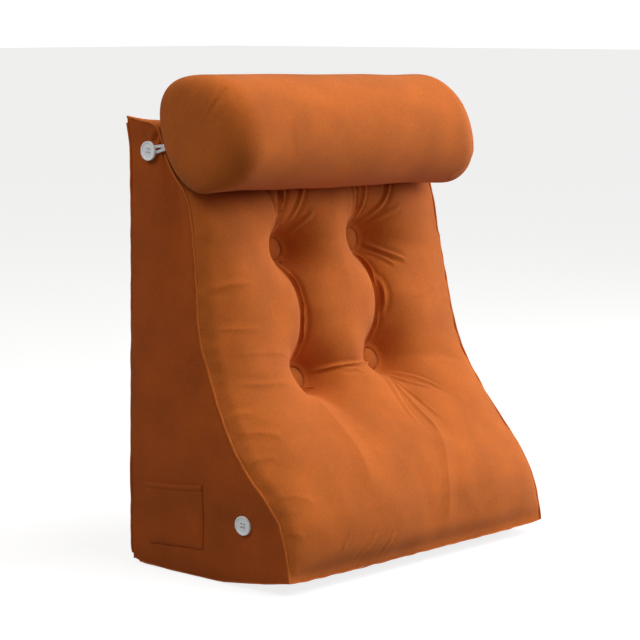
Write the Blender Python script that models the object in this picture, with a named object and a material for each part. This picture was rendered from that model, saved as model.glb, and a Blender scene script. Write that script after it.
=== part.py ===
"""Backrest pillow: a filled wedge cushion with a tufted front, and a bolster held on by elastic loops.

Metres, +Z up, the front faces -Y. The origin is on the floor, under the middle of the wedge's base.
Each panel of the wedge is a grid, and the grids share their points along the sewn seams.
"""

import math
from collections import namedtuple

import bmesh
import bpy
from mathutils import Matrix, Vector
from mathutils.bvhtree import BVHTree

MM = 0.001
CLEARANCE = 0.3 * MM

# Driving sizes of the wedge
BACK_Y = 0.140
BACK_HALF_WIDTH = 0.245
BACK_TOP_SAG = 0.010
BACK_CROWN = 0.006
SIDE_CROWN = 0.006
BASE_FRONT_LIFT = 0.014
BASE_BACK_LIFT = 0.003
BASE_ROUND = 0.020
BASE_ROUND_PER_LIFT = 6.5
BASE_ROUND_POWER = 1.25
CROWN_POWER = 2.6
CROWN_ROUNDNESS = 0.6

# Driving sizes of the tufting
TUFT_X = 0.075
TUFT_HEIGHTS = {"upper": 0.396, "lower": 0.240}
TUFT_HIGHER_RIGHT = {"upper": 0.002, "lower": 0.0045}
TUFT_SUNK = 0.021
TUFT_SEAT = 0.017
TUFT_REACH = 0.026
TUFT_BUTTON_RADIUS = 0.0155

# Driving sizes of the bolster
BOLSTER_RADIUS = 0.0722
BOLSTER_SQUARENESS = 2.23
BOLSTER_HALF_LENGTH = 0.239
BOLSTER_CENTRE = (-0.014, 0.008, 0.5478)
BOLSTER_YAW = math.radians(-0.6)
BOLSTER_TILT = math.radians(1.0)
BOLSTER_LEAN_REACH = 0.120
BOLSTER_CORNER = 0.007
BOLSTER_CORNER_ANGLE = math.radians(250)
BOLSTER_CORNER_FROM = 0.140
BOLSTER_DENT_GAP = 0.8 * MM
BOLSTER_DENT_EASE = 0.008
BOLSTER_DENT_PAST_END = 1.06

# Driving sizes of the white buttons and the elastic loops
BUTTON_RADIUS = 0.012
BUTTON_THICKNESS = 0.003
BUTTON_HOLE_RADIUS = 0.0011
BUTTON_HOLE_SPREAD = 0.0021
BUTTON_HOLE_DEPTH = 0.0022
SHANK_RADIUS = 0.0016
LOOP_THICKNESS = 0.0014
LOOP_HALF_WIDTH = 0.004
LOOP_RISE = math.radians(11)
LOOP_END_GAP = 0.5 * MM
LOOP_PAST_SEAM = 0.034
LOOP_SHORTEST = 0.020
LOOP_LONGEST = 0.080
LOOP_END_PAST_SLIT = 0.004
LOOP_TURN_IN = {"left": 0.0, "right": 1.0}
SLIT_BACK = 0.0035
SLIT_FRONT = 0.0220
SLIT_HALF_WIDTH = 0.0019

# Where the buttons and the pocket lie on a side panel, as depth from the back and height
UPPER_BUTTON = (0.036, 0.5276)
LOWER_BUTTON = (0.201, 0.0786)
POCKET_CORNERS = {
    "top_back": (0.030, 0.110),
    "top_front": (0.131, 0.120),
    "bottom_back": (0.036, 0.031),
    "bottom_front": (0.128, 0.037),
}
POCKET_THICKNESS = 0.0014
POCKET_HEM_THICKNESS = 0.0024
POCKET_HEM_SHARE = 0.2

# The sewn seam between front panel and side panel, from the back edge's ear down to the floor
SeamRow = namedtuple("SeamRow", "height depth half_width")
FRONT_SEAM = (
    SeamRow(0.568, 0.001, 0.2450),
    SeamRow(0.562, 0.022, 0.2430),
    SeamRow(0.550, 0.045, 0.2390),
    SeamRow(0.515, 0.064, 0.2360),
    SeamRow(0.487, 0.087, 0.2345),
    SeamRow(0.460, 0.0975, 0.2325),
    SeamRow(0.402, 0.108, 0.2345),
    SeamRow(0.350, 0.116, 0.2390),
    SeamRow(0.300, 0.1245, 0.2430),
    SeamRow(0.250, 0.142, 0.2420),
    SeamRow(0.211, 0.162, 0.2450),
    SeamRow(0.175, 0.187, 0.2500),
    SeamRow(0.140, 0.217, 0.2515),
    SeamRow(0.110, 0.245, 0.2490),
    SeamRow(0.085, 0.263, 0.2465),
    SeamRow(0.055, 0.274, 0.2475),
    SeamRow(0.018, 0.281, 0.2480),
)

# The seam between side panel and base curves up from the floor to its corners
EdgeRow = namedtuple("EdgeRow", "depth lift")
BASE_SIDE_EDGE = (
    EdgeRow(0.000, 0.0045),
    EdgeRow(0.025, 0.0025),
    EdgeRow(0.100, 0.0012),
    EdgeRow(0.150, 0.0006),
    EdgeRow(0.185, 0.0028),
    EdgeRow(0.225, 0.0060),
    EdgeRow(0.260, 0.0120),
    EdgeRow(0.281, 0.0180),
)

# The bolster's two sewn ends: how long and how square each is, and how far its face leans over
EndRow = namedtuple("EndRow", "length power lean")
BOLSTER_ENDS = {"left": EndRow(0.040, 3.4, 0.19), "right": EndRow(0.055, 2.1, 0.28)}

# How far the filling pushes the front panel out, by distance down the panel from the back edge
CrownRow = namedtuple("CrownRow", "down crown")
FRONT_CROWN = (
    CrownRow(0.000, 0.000),
    CrownRow(0.020, 0.007),
    CrownRow(0.070, 0.011),
    CrownRow(0.130, 0.017),
    CrownRow(0.190, 0.028),
    CrownRow(0.260, 0.034),
    CrownRow(0.340, 0.034),
    CrownRow(0.410, 0.031),
    CrownRow(0.480, 0.027),
    CrownRow(0.550, 0.020),
    CrownRow(0.600, 0.012),
    CrownRow(0.630, 0.005),
    CrownRow(0.645, 0.000),
)

# Valleys that the tufting pulls into the front panel: across is x, down is from the back edge
Valley = namedtuple("Valley", "across_from down_from across_to down_to depth width")
FRONT_VALLEYS = (
    Valley(-0.075, 0.222, -0.075, 0.387, 0.015, 0.020),
    Valley(0.075, 0.222, 0.075, 0.387, 0.015, 0.020),
    Valley(-0.075, 0.222, -0.068, 0.130, 0.009, 0.012),
    Valley(-0.075, 0.222, -0.040, 0.140, 0.006, 0.012),
    Valley(0.075, 0.222, 0.078, 0.130, 0.008, 0.012),
    Valley(0.075, 0.222, 0.130, 0.150, 0.007, 0.012),
    Valley(-0.075, 0.222, -0.215, 0.240, 0.006, 0.020),
    Valley(0.075, 0.222, 0.225, 0.250, 0.008, 0.018),
    Valley(-0.075, 0.222, 0.075, 0.222, 0.005, 0.022),
    Valley(-0.075, 0.387, 0.075, 0.387, 0.010, 0.016),
    Valley(-0.075, 0.387, -0.215, 0.385, 0.007, 0.020),
    Valley(0.075, 0.387, 0.225, 0.420, 0.007, 0.018),
    Valley(0.075, 0.387, 0.175, 0.500, 0.007, 0.018),
    Valley(0.075, 0.387, 0.085, 0.520, 0.004, 0.020),
    Valley(-0.075, 0.387, -0.050, 0.520, 0.006, 0.022),
    Valley(-0.075, 0.387, -0.150, 0.480, 0.004, 0.020),
)

# Grid stations. The centre columns stay straight, and the outer ones follow the seam.
HALF_COLUMNS = (
    0.021, 0.040, 0.058, 0.075, 0.092, 0.112, 0.133,
    0.155, 0.177, 0.198, 0.216, 0.230, 0.240, 0.245,
)
STRAIGHT_COLUMNS = 0.100
STRAIGHT_FROM = 0.050
TOP_ROWS = (0.0, 0.008, 0.020, 0.034, 0.049, 0.064, 0.079, 0.093, 0.107, 0.121, 0.135)
BASE_DEPTHS = (0.0, 0.014, 0.040, 0.075, 0.115, 0.155, 0.195, 0.230, 0.255, 0.271, 0.281)


class Curve:
    """A smooth line through the rows of a table, read by the distance along it."""

    def __init__(self, rows, across, up, steps=16):
        points = []
        count = len(rows)
        for i in range(count - 1):
            before, start = rows[max(i - 1, 0)], rows[i]
            end, after = rows[i + 1], rows[min(i + 2, count - 1)]
            for step in range(steps):
                points.append(self.between(before, start, end, after, step / steps))
        points.append(tuple(rows[-1]))
        self.points = points
        self.lengths = [0.0]
        for a, b in zip(points, points[1:]):
            step = math.hypot(b[across] - a[across], b[up] - a[up])
            self.lengths.append(self.lengths[-1] + step)

    @staticmethod
    def between(before, start, end, after, t):
        """One point of the Catmull-Rom curve between start and end."""
        result = []
        for a, b, c, d in zip(before, start, end, after):
            result.append(
                0.5 * (2 * b + (c - a) * t + (2 * a - 5 * b + 4 * c - d) * t * t
                       + (3 * b - a - 3 * c + d) * t ** 3)
            )
        return tuple(result)

    def at(self, distance):
        distance = min(max(distance, 0.0), self.lengths[-1])
        for i, length in enumerate(self.lengths[1:]):
            if distance <= length:
                share = (distance - self.lengths[i]) / (length - self.lengths[i])
                pair = zip(self.points[i], self.points[i + 1])
                return tuple(a + (b - a) * share for a, b in pair)
        return self.points[-1]


SEAM = Curve(FRONT_SEAM, across=1, up=0)
PANEL_LENGTH = SEAM.lengths[-1]


def lookup(rows, position):
    """Value of a two-column table at a position, in a straight line between its rows."""
    if position <= rows[0][0]:
        return rows[0][1]
    for low, high in zip(rows, rows[1:]):
        if position <= high[0]:
            share = (position - low[0]) / (high[0] - low[0])
            return low[1] + (high[1] - low[1]) * share
    return rows[-1][1]


def down_at(height):
    """Distance down the front panel at which the seam has this height."""
    low, high = 0.0, PANEL_LENGTH
    for _ in range(40):
        middle = (low + high) / 2
        if SEAM.at(middle)[0] > height:
            low = middle
        else:
            high = middle
    return low


def seam_frame(down):
    """Point of the seam's middle line, its direction down the panel and its outward normal."""
    height, depth, half_width = SEAM.at(down)
    upper, lower = SEAM.at(down - 0.006), SEAM.at(down + 0.006)
    tangent = Vector((0.0, upper[1] - lower[1], lower[0] - upper[0])).normalized()
    normal = Vector((0.0, tangent.z, -tangent.y))
    return Vector((0.0, BACK_Y - depth, height)), tangent, normal, half_width


def segment_distance(across, down, valley):
    """Distance to a valley's line, and how far along it the nearest point is, from 0 to 1."""
    start = Vector((valley.across_from, valley.down_from))
    line = Vector((valley.across_to, valley.down_to)) - start
    along = (Vector((across, down)) - start).dot(line) / line.length_squared
    along = min(max(along, 0.0), 1.0)
    return (Vector((across, down)) - start - along * line).length, along


def down_shift(column, down):
    """How much higher up the panel a grid row runs on the right than on the left, near the tufts."""
    shift = 0.0
    for level, tuft_height in TUFT_HEIGHTS.items():
        nearness = (0.085 - abs(down - down_at(tuft_height))) / 0.055
        shift += TUFT_HIGHER_RIGHT[level] * min(max(nearness, 0.0), 1.0)
    return shift * min(max(column / STRAIGHT_FROM, -1.0), 1.0)


TUFTS = []
for level, tuft_height in TUFT_HEIGHTS.items():
    for side, sign in (("left", -1), ("right", 1)):
        tuft_down = down_at(tuft_height) - sign * TUFT_HIGHER_RIGHT[level]
        TUFTS.append((f"{level}_{side}", sign * TUFT_X, tuft_down))


def front_crown(across, down, half_width):
    """How far the front panel stands out of the plane of its side seams."""
    share = min(abs(across) / half_width, 1.0)
    edge = (1 - share ** CROWN_POWER) ** CROWN_ROUNDNESS
    crown = lookup(FRONT_CROWN, down * FRONT_CROWN[-1].down / PANEL_LENGTH) * edge
    free = crown
    for valley in FRONT_VALLEYS:
        distance, along = segment_distance(across, down, valley)
        runs_on = valley.across_from == valley.across_to or abs(valley.across_to) == TUFT_X
        fade = 1.0 if runs_on else 1 - along ** 1.5
        free -= valley.depth * fade * edge * math.exp(-distance / valley.width)
    pulled = 1.0
    for _, tuft_x, tuft_down in TUFTS:
        distance = max(math.hypot(across - tuft_x, down - tuft_down) - TUFT_SEAT, 0.0)
        pulled = min(pulled, 1 - math.exp(-distance / TUFT_REACH))
    return free * pulled - TUFT_SUNK * (1 - pulled)


BOLSTER_PLACE = (
    Matrix.Translation(BOLSTER_CENTRE)
    @ Matrix.Rotation(BOLSTER_TILT, 4, "Y")
    @ Matrix.Rotation(BOLSTER_YAW, 4, "Z")
)


def bolster_lean(across, height):
    """How far the leaning ends shift the bolster's cloth along its length."""
    end = BOLSTER_ENDS["left" if across < 0 else "right"]
    near = (abs(across) - (BOLSTER_HALF_LENGTH - BOLSTER_LEAN_REACH)) / BOLSTER_LEAN_REACH
    return -end.lean * min(max(near, 0.0), 1.0) ** 1.5 * height


def bolster_radius(across, angle):
    """Distance from the bolster's own axis to its cloth, at this place along and around it."""
    end = BOLSTER_ENDS["left" if across < 0 else "right"]
    into_end = max((abs(across) - (BOLSTER_HALF_LENGTH - end.length)) / end.length, 0.0)
    if into_end >= 1:
        return 0.0
    square = BOLSTER_SQUARENESS
    section = (abs(math.cos(angle)) ** square + abs(math.sin(angle)) ** square) ** (-1 / square)
    rounded = (1 - into_end ** end.power) ** (1 / end.power)
    corner_run = BOLSTER_HALF_LENGTH - BOLSTER_CORNER_FROM
    near_end = max((abs(across) - BOLSTER_CORNER_FROM) / corner_run, 0.0)
    corner = BOLSTER_CORNER * max(math.cos(angle - BOLSTER_CORNER_ANGLE), 0.0) ** 10 * near_end ** 1.5
    return (BOLSTER_RADIUS * section + corner) * rounded


def push_clear_of_bolster(point):
    """Moves a point of the wedge out of the bolster that rests on it, as the filling gives way."""
    inside = BOLSTER_PLACE.inverted() @ point
    across = (inside.x - bolster_lean(inside.x, inside.z)) / BOLSTER_DENT_PAST_END
    distance = math.hypot(inside.y, inside.z)
    radius = bolster_radius(across, math.atan2(inside.z, inside.y))
    if radius == 0 or distance > radius + 0.05:
        return point
    over = distance - radius - BOLSTER_DENT_GAP
    eased = radius + BOLSTER_DENT_GAP + 0.5 * (over + math.sqrt(over * over + BOLSTER_DENT_EASE ** 2))
    moved = Vector((inside.x, inside.y * eased / distance, inside.z * eased / distance))
    return BOLSTER_PLACE @ moved


def front_point(column, down):
    """Point of the front panel. It runs from the back edge over the rounded top to the floor."""
    down -= down_shift(column, down)
    middle, tangent, normal, half_width = seam_frame(down)
    reach = BACK_HALF_WIDTH - STRAIGHT_COLUMNS
    outer = max(abs(column) - STRAIGHT_COLUMNS, 0.0) / reach
    across = column + math.copysign(outer, column) * (half_width - BACK_HALF_WIDTH)
    for _, tuft_x, tuft_down in TUFTS:
        inside = max(abs(column - tuft_x), abs(down - tuft_down)) <= TUFT_SEAT + 0.01 * MM
        if inside:
            seat, seat_tangent, seat_normal, _ = seam_frame(tuft_down)
            point = seat + seat_tangent * (down - tuft_down) - seat_normal * TUFT_SUNK
            return Vector((column, point.y, point.z))
    sag = BACK_TOP_SAG * (1 - (abs(column) / BACK_HALF_WIDTH) ** 4) * max(1 - down / 0.1, 0.0)
    point = middle + normal * front_crown(across, down, half_width)
    return push_clear_of_bolster(Vector((across, point.y, point.z - sag)))


def base_point(column, depth):
    """Point of the base. It is flat on the floor, and curves up to its sewn edges."""
    share = depth / BASE_DEPTHS[-1]
    half_width = BACK_HALF_WIDTH + (FRONT_SEAM[-1].half_width - BACK_HALF_WIDTH) * share
    across = abs(column) / BACK_HALF_WIDTH
    x = column * half_width / BACK_HALF_WIDTH
    side_lift = lookup(BASE_SIDE_EDGE, depth)
    corner_share = across ** 6
    front_lift = BASE_FRONT_LIFT + (BASE_SIDE_EDGE[-1].lift - BASE_FRONT_LIFT) * corner_share
    back_lift = BASE_BACK_LIFT + (BASE_SIDE_EDGE[0].lift - BASE_BACK_LIFT) * corner_share
    lifts = (
        (side_lift, half_width - abs(x)),
        (front_lift, BASE_DEPTHS[-1] - depth),
        (back_lift, depth),
    )
    lift = 0.0
    for height, gap in lifts:
        run = BASE_ROUND + BASE_ROUND_PER_LIFT * height
        lift = max(lift, height * max(1 - gap / run, 0.0) ** BASE_ROUND_POWER)
    return Vector((x, BACK_Y - depth, lift))


def back_point(column, share):
    """Point of the back panel, by its share of the way down from the top edge."""
    top = front_point(column, 0.0)
    bottom = base_point(column, 0.0)
    edge = 1 - (abs(column) / BACK_HALF_WIDTH) ** 4
    swell = BACK_CROWN * edge * math.sin(math.pi * share) ** CROWN_ROUNDNESS
    point = top.lerp(bottom, share)
    return Vector((point.x, point.y + swell, point.z))


def side_point(i, j, grid):
    """Point inside a side panel, blended from its four sewn edges."""
    top, bottom, back, front = grid
    down, across = i / (len(back) - 1), j / (len(top) - 1)
    point = top[j] * (1 - down) + bottom[j] * down + back[i] * (1 - across) + front[i] * across
    point -= back[0] * ((1 - across) * (1 - down)) + front[0] * (across * (1 - down))
    point -= back[-1] * ((1 - across) * down) + front[-1] * (across * down)
    swell = SIDE_CROWN * (math.sin(math.pi * down) * math.sin(math.pi * across)) ** CROWN_ROUNDNESS
    point.x += math.copysign(swell, back[0].x)
    return point


def clear_scene():
    for item in list(bpy.data.objects):
        bpy.data.objects.remove(item, do_unlink=True)


def make_material(name, colour, roughness):
    material = bpy.data.materials.new(name)
    material.use_nodes = True
    shader = material.node_tree.nodes["Principled BSDF"]
    shader.inputs["Base Color"].default_value = (*colour, 1.0)
    shader.inputs["Roughness"].default_value = roughness
    shader.inputs["Metallic"].default_value = 0.0
    return material


def add_object(name, mesh_data, material, smooth_angle=40):
    """Puts a bmesh in the scene as a named object with its material."""
    mesh = bpy.data.meshes.new(name)
    bmesh.ops.remove_doubles(mesh_data, verts=mesh_data.verts, dist=0.01 * MM)
    bmesh.ops.recalc_face_normals(mesh_data, faces=mesh_data.faces)
    mesh_data.to_mesh(mesh)
    mesh_data.free()
    mesh.shade_smooth()
    mesh.set_sharp_from_angle(angle=math.radians(smooth_angle))
    mesh.materials.append(material)
    item = bpy.data.objects.new(name, mesh)
    bpy.context.scene.collection.objects.link(item)
    return item


def add_grid(mesh_data, points):
    """Faces over a grid of points, given as rows. Shared edges are merged afterwards."""
    verts = [[mesh_data.verts.new(point) for point in row] for row in points]
    for upper, lower in zip(verts, verts[1:]):
        for i in range(len(upper) - 1):
            mesh_data.faces.new((upper[i], upper[i + 1], lower[i + 1], lower[i]))


def front_rows():
    """Distances down the front panel of its grid rows below the top."""
    upper, lower = down_at(TUFT_HEIGHTS["upper"]), down_at(TUFT_HEIGHTS["lower"])
    stretches = (
        (TOP_ROWS[-1], upper - TUFT_SEAT, 5),
        (upper - TUFT_SEAT, upper + TUFT_SEAT, 2),
        (upper + TUFT_SEAT, lower - TUFT_SEAT, 8),
        (lower - TUFT_SEAT, lower + TUFT_SEAT, 2),
        (lower + TUFT_SEAT, PANEL_LENGTH - 0.09, 8),
        (PANEL_LENGTH - 0.09, PANEL_LENGTH, 7),
    )
    rows = [TOP_ROWS[-1]]
    for start, end, count in stretches:
        rows += [start + (end - start) * step / count for step in range(1, count + 1)]
    return rows


def build_wedge(material):
    columns = [-x for x in reversed(HALF_COLUMNS)] + [0.0] + list(HALF_COLUMNS)
    rows = front_rows()
    last = len(rows) - 1
    mesh_data = bmesh.new()
    top = [[front_point(x, down) for x in columns] for down in TOP_ROWS]
    front = [[front_point(x, down) for x in columns] for down in rows]
    base = [[base_point(x, depth) for x in columns] for depth in BASE_DEPTHS]
    front[-1] = base[-1]
    back = [[back_point(x, i / last) for x in columns] for i in range(last + 1)]
    for panel in (top, front, base, back):
        add_grid(mesh_data, panel)
    for edge in (0, -1):
        sides = (
            [row[edge] for row in top],
            [row[edge] for row in base],
            [row[edge] for row in back],
            [row[edge] for row in front],
        )
        grid = []
        for i in range(last + 1):
            row = []
            for j in range(len(TOP_ROWS)):
                is_border = i in (0, last) or j in (0, len(TOP_ROWS) - 1)
                point = side_point(i, j, sides)
                row.append(point if is_border else push_clear_of_bolster(point))
            grid.append(row)
        add_grid(mesh_data, grid)
    return add_object("wedge_cushion", mesh_data, material)


def build_bolster(material, sides=40, straight_rings=6, end_rings=7):
    """A filled roll of cloth with sewn ends, lying on the front of the wedge's top."""
    stations = []
    for name, sign in (("left", -1), ("right", 1)):
        end = BOLSTER_ENDS[name]
        straight = BOLSTER_HALF_LENGTH - end.length
        run = [straight * i / straight_rings for i in range(straight_rings)]
        for i in range(end_rings):
            turn = math.pi / 2 * i / end_rings
            run.append(straight + end.length * math.sin(turn) ** (2 / end.power))
        stations += [sign * across for across in run]
    stations = sorted(set(stations))
    mesh_data = bmesh.new()
    loops = []
    for across in stations:
        loop = []
        for step in range(sides):
            angle = 2 * math.pi * (step + 0.5) / sides
            radius = bolster_radius(across, angle)
            y, z = radius * math.cos(angle), radius * math.sin(angle)
            point = BOLSTER_PLACE @ Vector((across + bolster_lean(across, z), y, z))
            loop.append(mesh_data.verts.new(point))
        loops.append(loop)
    for first, second in zip(loops, loops[1:]):
        for i in range(sides):
            j = (i + 1) % sides
            mesh_data.faces.new((first[i], first[j], second[j], second[i]))
    for loop, sign in ((loops[0], -1), (loops[-1], 1)):
        pole = mesh_data.verts.new(BOLSTER_PLACE @ Vector((sign * BOLSTER_HALF_LENGTH, 0, 0)))
        for i in range(sides):
            mesh_data.faces.new((loop[i], loop[(i + 1) % sides], pole))
    return add_object("bolster", mesh_data, material)


def turned(profile, place, sides):
    """A turned solid from (radius, height) points, its first and last on the axis."""
    mesh_data = bmesh.new()
    loops = []
    for radius, height in profile:
        if radius == 0:
            loops.append([mesh_data.verts.new(place @ Vector((0, 0, height)))])
            continue
        turns = [2 * math.pi * i / sides for i in range(sides)]
        ring = [Vector((radius * math.cos(t), radius * math.sin(t), height)) for t in turns]
        loops.append([mesh_data.verts.new(place @ point) for point in ring])
    for lower, upper in zip(loops, loops[1:]):
        for i in range(sides):
            j = (i + 1) % sides
            below = [lower[i % len(lower)], lower[j % len(lower)]]
            above = [upper[j % len(upper)], upper[i % len(upper)]]
            mesh_data.faces.new(list(dict.fromkeys(below + above)))
    return mesh_data


def build_tuft_buttons(material):
    """Cloth-covered domes that the tufting twine pulls down onto the front panel."""
    radius = TUFT_BUTTON_RADIUS
    profile = (
        (0, 0), (radius - 0.0015, 0), (radius, 0.0018), (radius - 0.0006, 0.0040),
        (radius - 0.0035, 0.0064), (radius * 0.45, 0.0082), (0, 0.0088),
    )
    for name, across, down in TUFTS:
        seat, tangent, normal, _ = seam_frame(down)
        centre = seat + normal * (CLEARANCE - TUFT_SUNK)
        centre.x = across
        place = Matrix.Translation(centre) @ normal.to_track_quat("Z", "Y").to_matrix().to_4x4()
        add_object(f"tuft_button_{name}", turned(profile, place, 24), material)


def surface_x(tree, side, depth, height):
    """Where a side panel lies, at this depth and height, on the side of this sign."""
    origin = Vector((side, BACK_Y - depth, height))
    return tree.ray_cast(origin, Vector((-side, 0.0, 0.0)))[0].x


def panel_place(tree, side, depth, height, reach=0.008):
    """Frame that lies flat on a side panel: X runs to the front, Z points out of the cushion."""
    x = surface_x(tree, side, depth, height)
    toward_front = surface_x(tree, side, depth + reach, height)
    upward = surface_x(tree, side, depth, height + reach)
    along = Vector((toward_front - x, -reach, 0.0)).normalized()
    up = Vector((upward - x, 0.0, reach))
    outward = along.cross(up).normalized()
    if outward.x * side < 0:
        outward.negate()
    across = outward.cross(along)
    turn = Matrix((along, across, outward)).transposed().to_4x4()
    return Matrix.Translation((x, BACK_Y - depth, height)) @ turn


def build_side_buttons(material, tree):
    """Four-hole buttons. The upper ones stand on a thread shank, for the elastic loop."""
    for side, side_name in ((-1, "left"), (1, "right")):
        for level, (depth, height) in (("upper", UPPER_BUTTON), ("lower", LOWER_BUTTON)):
            name = f"side_button_{level}_{side_name}"
            place = panel_place(tree, side, depth, height)
            profile = [(0, CLEARANCE)]
            low = CLEARANCE + 0.2 * MM
            if level == "upper":
                low = LOOP_THICKNESS + 3 * CLEARANCE
                profile += [(SHANK_RADIUS, CLEARANCE), (SHANK_RADIUS, low)]
            high = low + BUTTON_THICKNESS
            profile += [
                (BUTTON_RADIUS - 0.0010, low),
                (BUTTON_RADIUS, low + 0.0010),
                (BUTTON_RADIUS - 0.0004, high - 0.0006),
                (BUTTON_RADIUS - 0.0016, high),
                (BUTTON_RADIUS - 0.0034, high - 0.0009),
                (0, high - 0.0010),
            ]
            button = add_object(name, turned(profile, place, 28), material)
            cut_button_holes(button, place, high)


def cut_button_holes(button, place, top):
    """Sinks the four sewing holes into a button's face."""
    cutter_data = bmesh.new()
    for turn in range(4):
        angle = math.radians(45 + 90 * turn)
        spot = (BUTTON_HOLE_SPREAD * math.cos(angle), BUTTON_HOLE_SPREAD * math.sin(angle), top)
        bmesh.ops.create_cone(
            cutter_data, cap_ends=True, segments=8, radius1=BUTTON_HOLE_RADIUS,
            radius2=BUTTON_HOLE_RADIUS, depth=2 * BUTTON_HOLE_DEPTH,
            matrix=place @ Matrix.Translation(spot),
        )
    mesh = bpy.data.meshes.new(f"{button.name}_holes")
    cutter_data.to_mesh(mesh)
    cutter_data.free()
    cutter = bpy.data.objects.new(mesh.name, mesh)
    bpy.context.scene.collection.objects.link(cutter)
    cutter.hide_render = True
    cutter.display_type = "WIRE"
    drill = button.modifiers.new("sewing_holes", "BOOLEAN")
    drill.operation = "DIFFERENCE"
    drill.solver = "EXACT"
    drill.object = cutter


def bolster_gap(point):
    """How far a point is from the bolster's cloth, measured from the bolster's axis."""
    inside = BOLSTER_PLACE.inverted() @ point
    across = inside.x - bolster_lean(inside.x, inside.z)
    radius = bolster_radius(across, math.atan2(inside.z, inside.y))
    return math.hypot(inside.y, inside.z) - radius


def loop_point(place, side_name, along, across, layer):
    """A point of the elastic. Past the cushion's seam it turns in to the bolster's end."""
    turn_in = LOOP_TURN_IN[side_name] * max(along - LOOP_PAST_SEAM, 0.0)
    return place @ Vector((along, across, layer - turn_in))


def loop_length(place, side_name):
    """How far the elastic runs from the button's shank before it meets the bolster."""
    length = LOOP_SHORTEST
    edges = (-LOOP_HALF_WIDTH, LOOP_HALF_WIDTH)
    layers = (CLEARANCE, CLEARANCE + LOOP_THICKNESS)
    while length < LOOP_LONGEST:
        corners = [(edge, layer) for edge in edges for layer in layers]
        ends = [loop_point(place, side_name, length, edge, layer) for edge, layer in corners]
        if min(bolster_gap(end) for end in ends) < LOOP_END_GAP:
            break
        length += 0.1 * MM
    return length


def build_elastic_loops(material, tree):
    """Flat elastic from each end of the bolster, slit to pass over the upper button's shank."""
    steps = 10
    for side, side_name in ((-1, "left"), (1, "right")):
        place = panel_place(tree, side, *UPPER_BUTTON)
        upward = 1 if place.col[1].z > 0 else -1
        place = place @ Matrix.Rotation(upward * LOOP_RISE, 4, "Z")
        back_end = -(SLIT_BACK + LOOP_END_PAST_SLIT)
        front_end = loop_length(place, side_name)
        outer, inner = [], []
        for step in range(steps + 1):
            share = step / steps
            width = LOOP_HALF_WIDTH * min(1.0, 0.5 + 4 * share)
            outer.append((back_end + (front_end - back_end) * share, width))
            narrowing = 1 - 0.75 * max(share - 0.25, 0)
            inner.append((-SLIT_BACK + (SLIT_FRONT + SLIT_BACK) * share, SLIT_HALF_WIDTH * narrowing))
        mesh_data = bmesh.new()
        layers = []
        for layer in (CLEARANCE, CLEARANCE + LOOP_THICKNESS):
            for line in (outer, inner):
                around = list(line) + [(along, -half) for along, half in reversed(line)]
                points = [loop_point(place, side_name, a, w, layer) for a, w in around]
                layers.append([mesh_data.verts.new(point) for point in points])
        low_outer, low_inner, high_outer, high_inner = layers
        walls = (
            (low_outer, low_inner), (high_inner, high_outer),
            (high_outer, low_outer), (low_inner, high_inner),
        )
        for i in range(len(low_outer)):
            j = (i + 1) % len(low_outer)
            for first, second in walls:
                mesh_data.faces.new((first[i], first[j], second[j], second[i]))
        add_object(f"elastic_loop_{side_name}", mesh_data, material)


def build_pocket(material, tree):
    """A flat patch sewn on the left side panel. Its hemmed top edge is the open one."""
    across_steps, down_steps = 10, 8
    corner = {name: Vector(place) for name, place in POCKET_CORNERS.items()}
    inner, outer = [], []
    for i in range(down_steps + 1):
        down = i / down_steps
        inner_row, outer_row = [], []
        for j in range(across_steps + 1):
            across = j / across_steps
            top = corner["top_back"].lerp(corner["top_front"], across)
            bottom = corner["bottom_back"].lerp(corner["bottom_front"], across)
            depth, height = top.lerp(bottom, down)
            x = surface_x(tree, -1, depth, height) - CLEARANCE
            is_hem = down <= POCKET_HEM_SHARE
            thickness = POCKET_HEM_THICKNESS if is_hem else POCKET_THICKNESS
            inner_row.append(Vector((x, BACK_Y - depth, height)))
            outer_row.append(Vector((x - thickness, BACK_Y - depth, height)))
        inner.append(inner_row)
        outer.append(outer_row)
    mesh_data = bmesh.new()
    add_grid(mesh_data, inner)
    add_grid(mesh_data, [list(reversed(row)) for row in outer])
    add_grid(mesh_data, [inner[0], outer[0]])
    add_grid(mesh_data, [outer[-1], inner[-1]])
    for edge in (0, -1):
        add_grid(mesh_data, [[row[edge] for row in inner], [row[edge] for row in outer]])
    add_object("side_pocket", mesh_data, material)


clear_scene()
cover = make_material("cover_fabric", (0.48, 0.135, 0.035), 0.85)
white_plastic = make_material("button_plastic", (0.72, 0.74, 0.76), 0.35)
white_elastic = make_material("elastic_band", (0.74, 0.74, 0.75), 0.80)
wedge = build_wedge(cover)
build_bolster(cover)
build_tuft_buttons(cover)
wedge_surface = bmesh.new()
wedge_surface.from_mesh(wedge.data)
wedge_tree = BVHTree.FromBMesh(wedge_surface)
build_side_buttons(white_plastic, wedge_tree)
build_elastic_loops(white_elastic, wedge_tree)
build_pocket(cover, wedge_tree)
wedge_surface.free()
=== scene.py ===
"""Backrest pillow: a tufted wedge cushion with a bolster held at its top by slit elastic loops.

Metres, +Z up, the front faces -Y, the origin on the floor under the middle of the wedge's base.
The sections follow the pillow as it is sewn and put together: the bolster, the wedge's cover, its
seams, the tufting buttons, the white buttons and elastic loops, the pocket, then the studio.
"""

import math

import bmesh
import bpy
import numpy as np
from mathutils import Matrix, Vector
from mathutils.bvhtree import BVHTree
from mathutils.noise import noise_vector, seed_set


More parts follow.
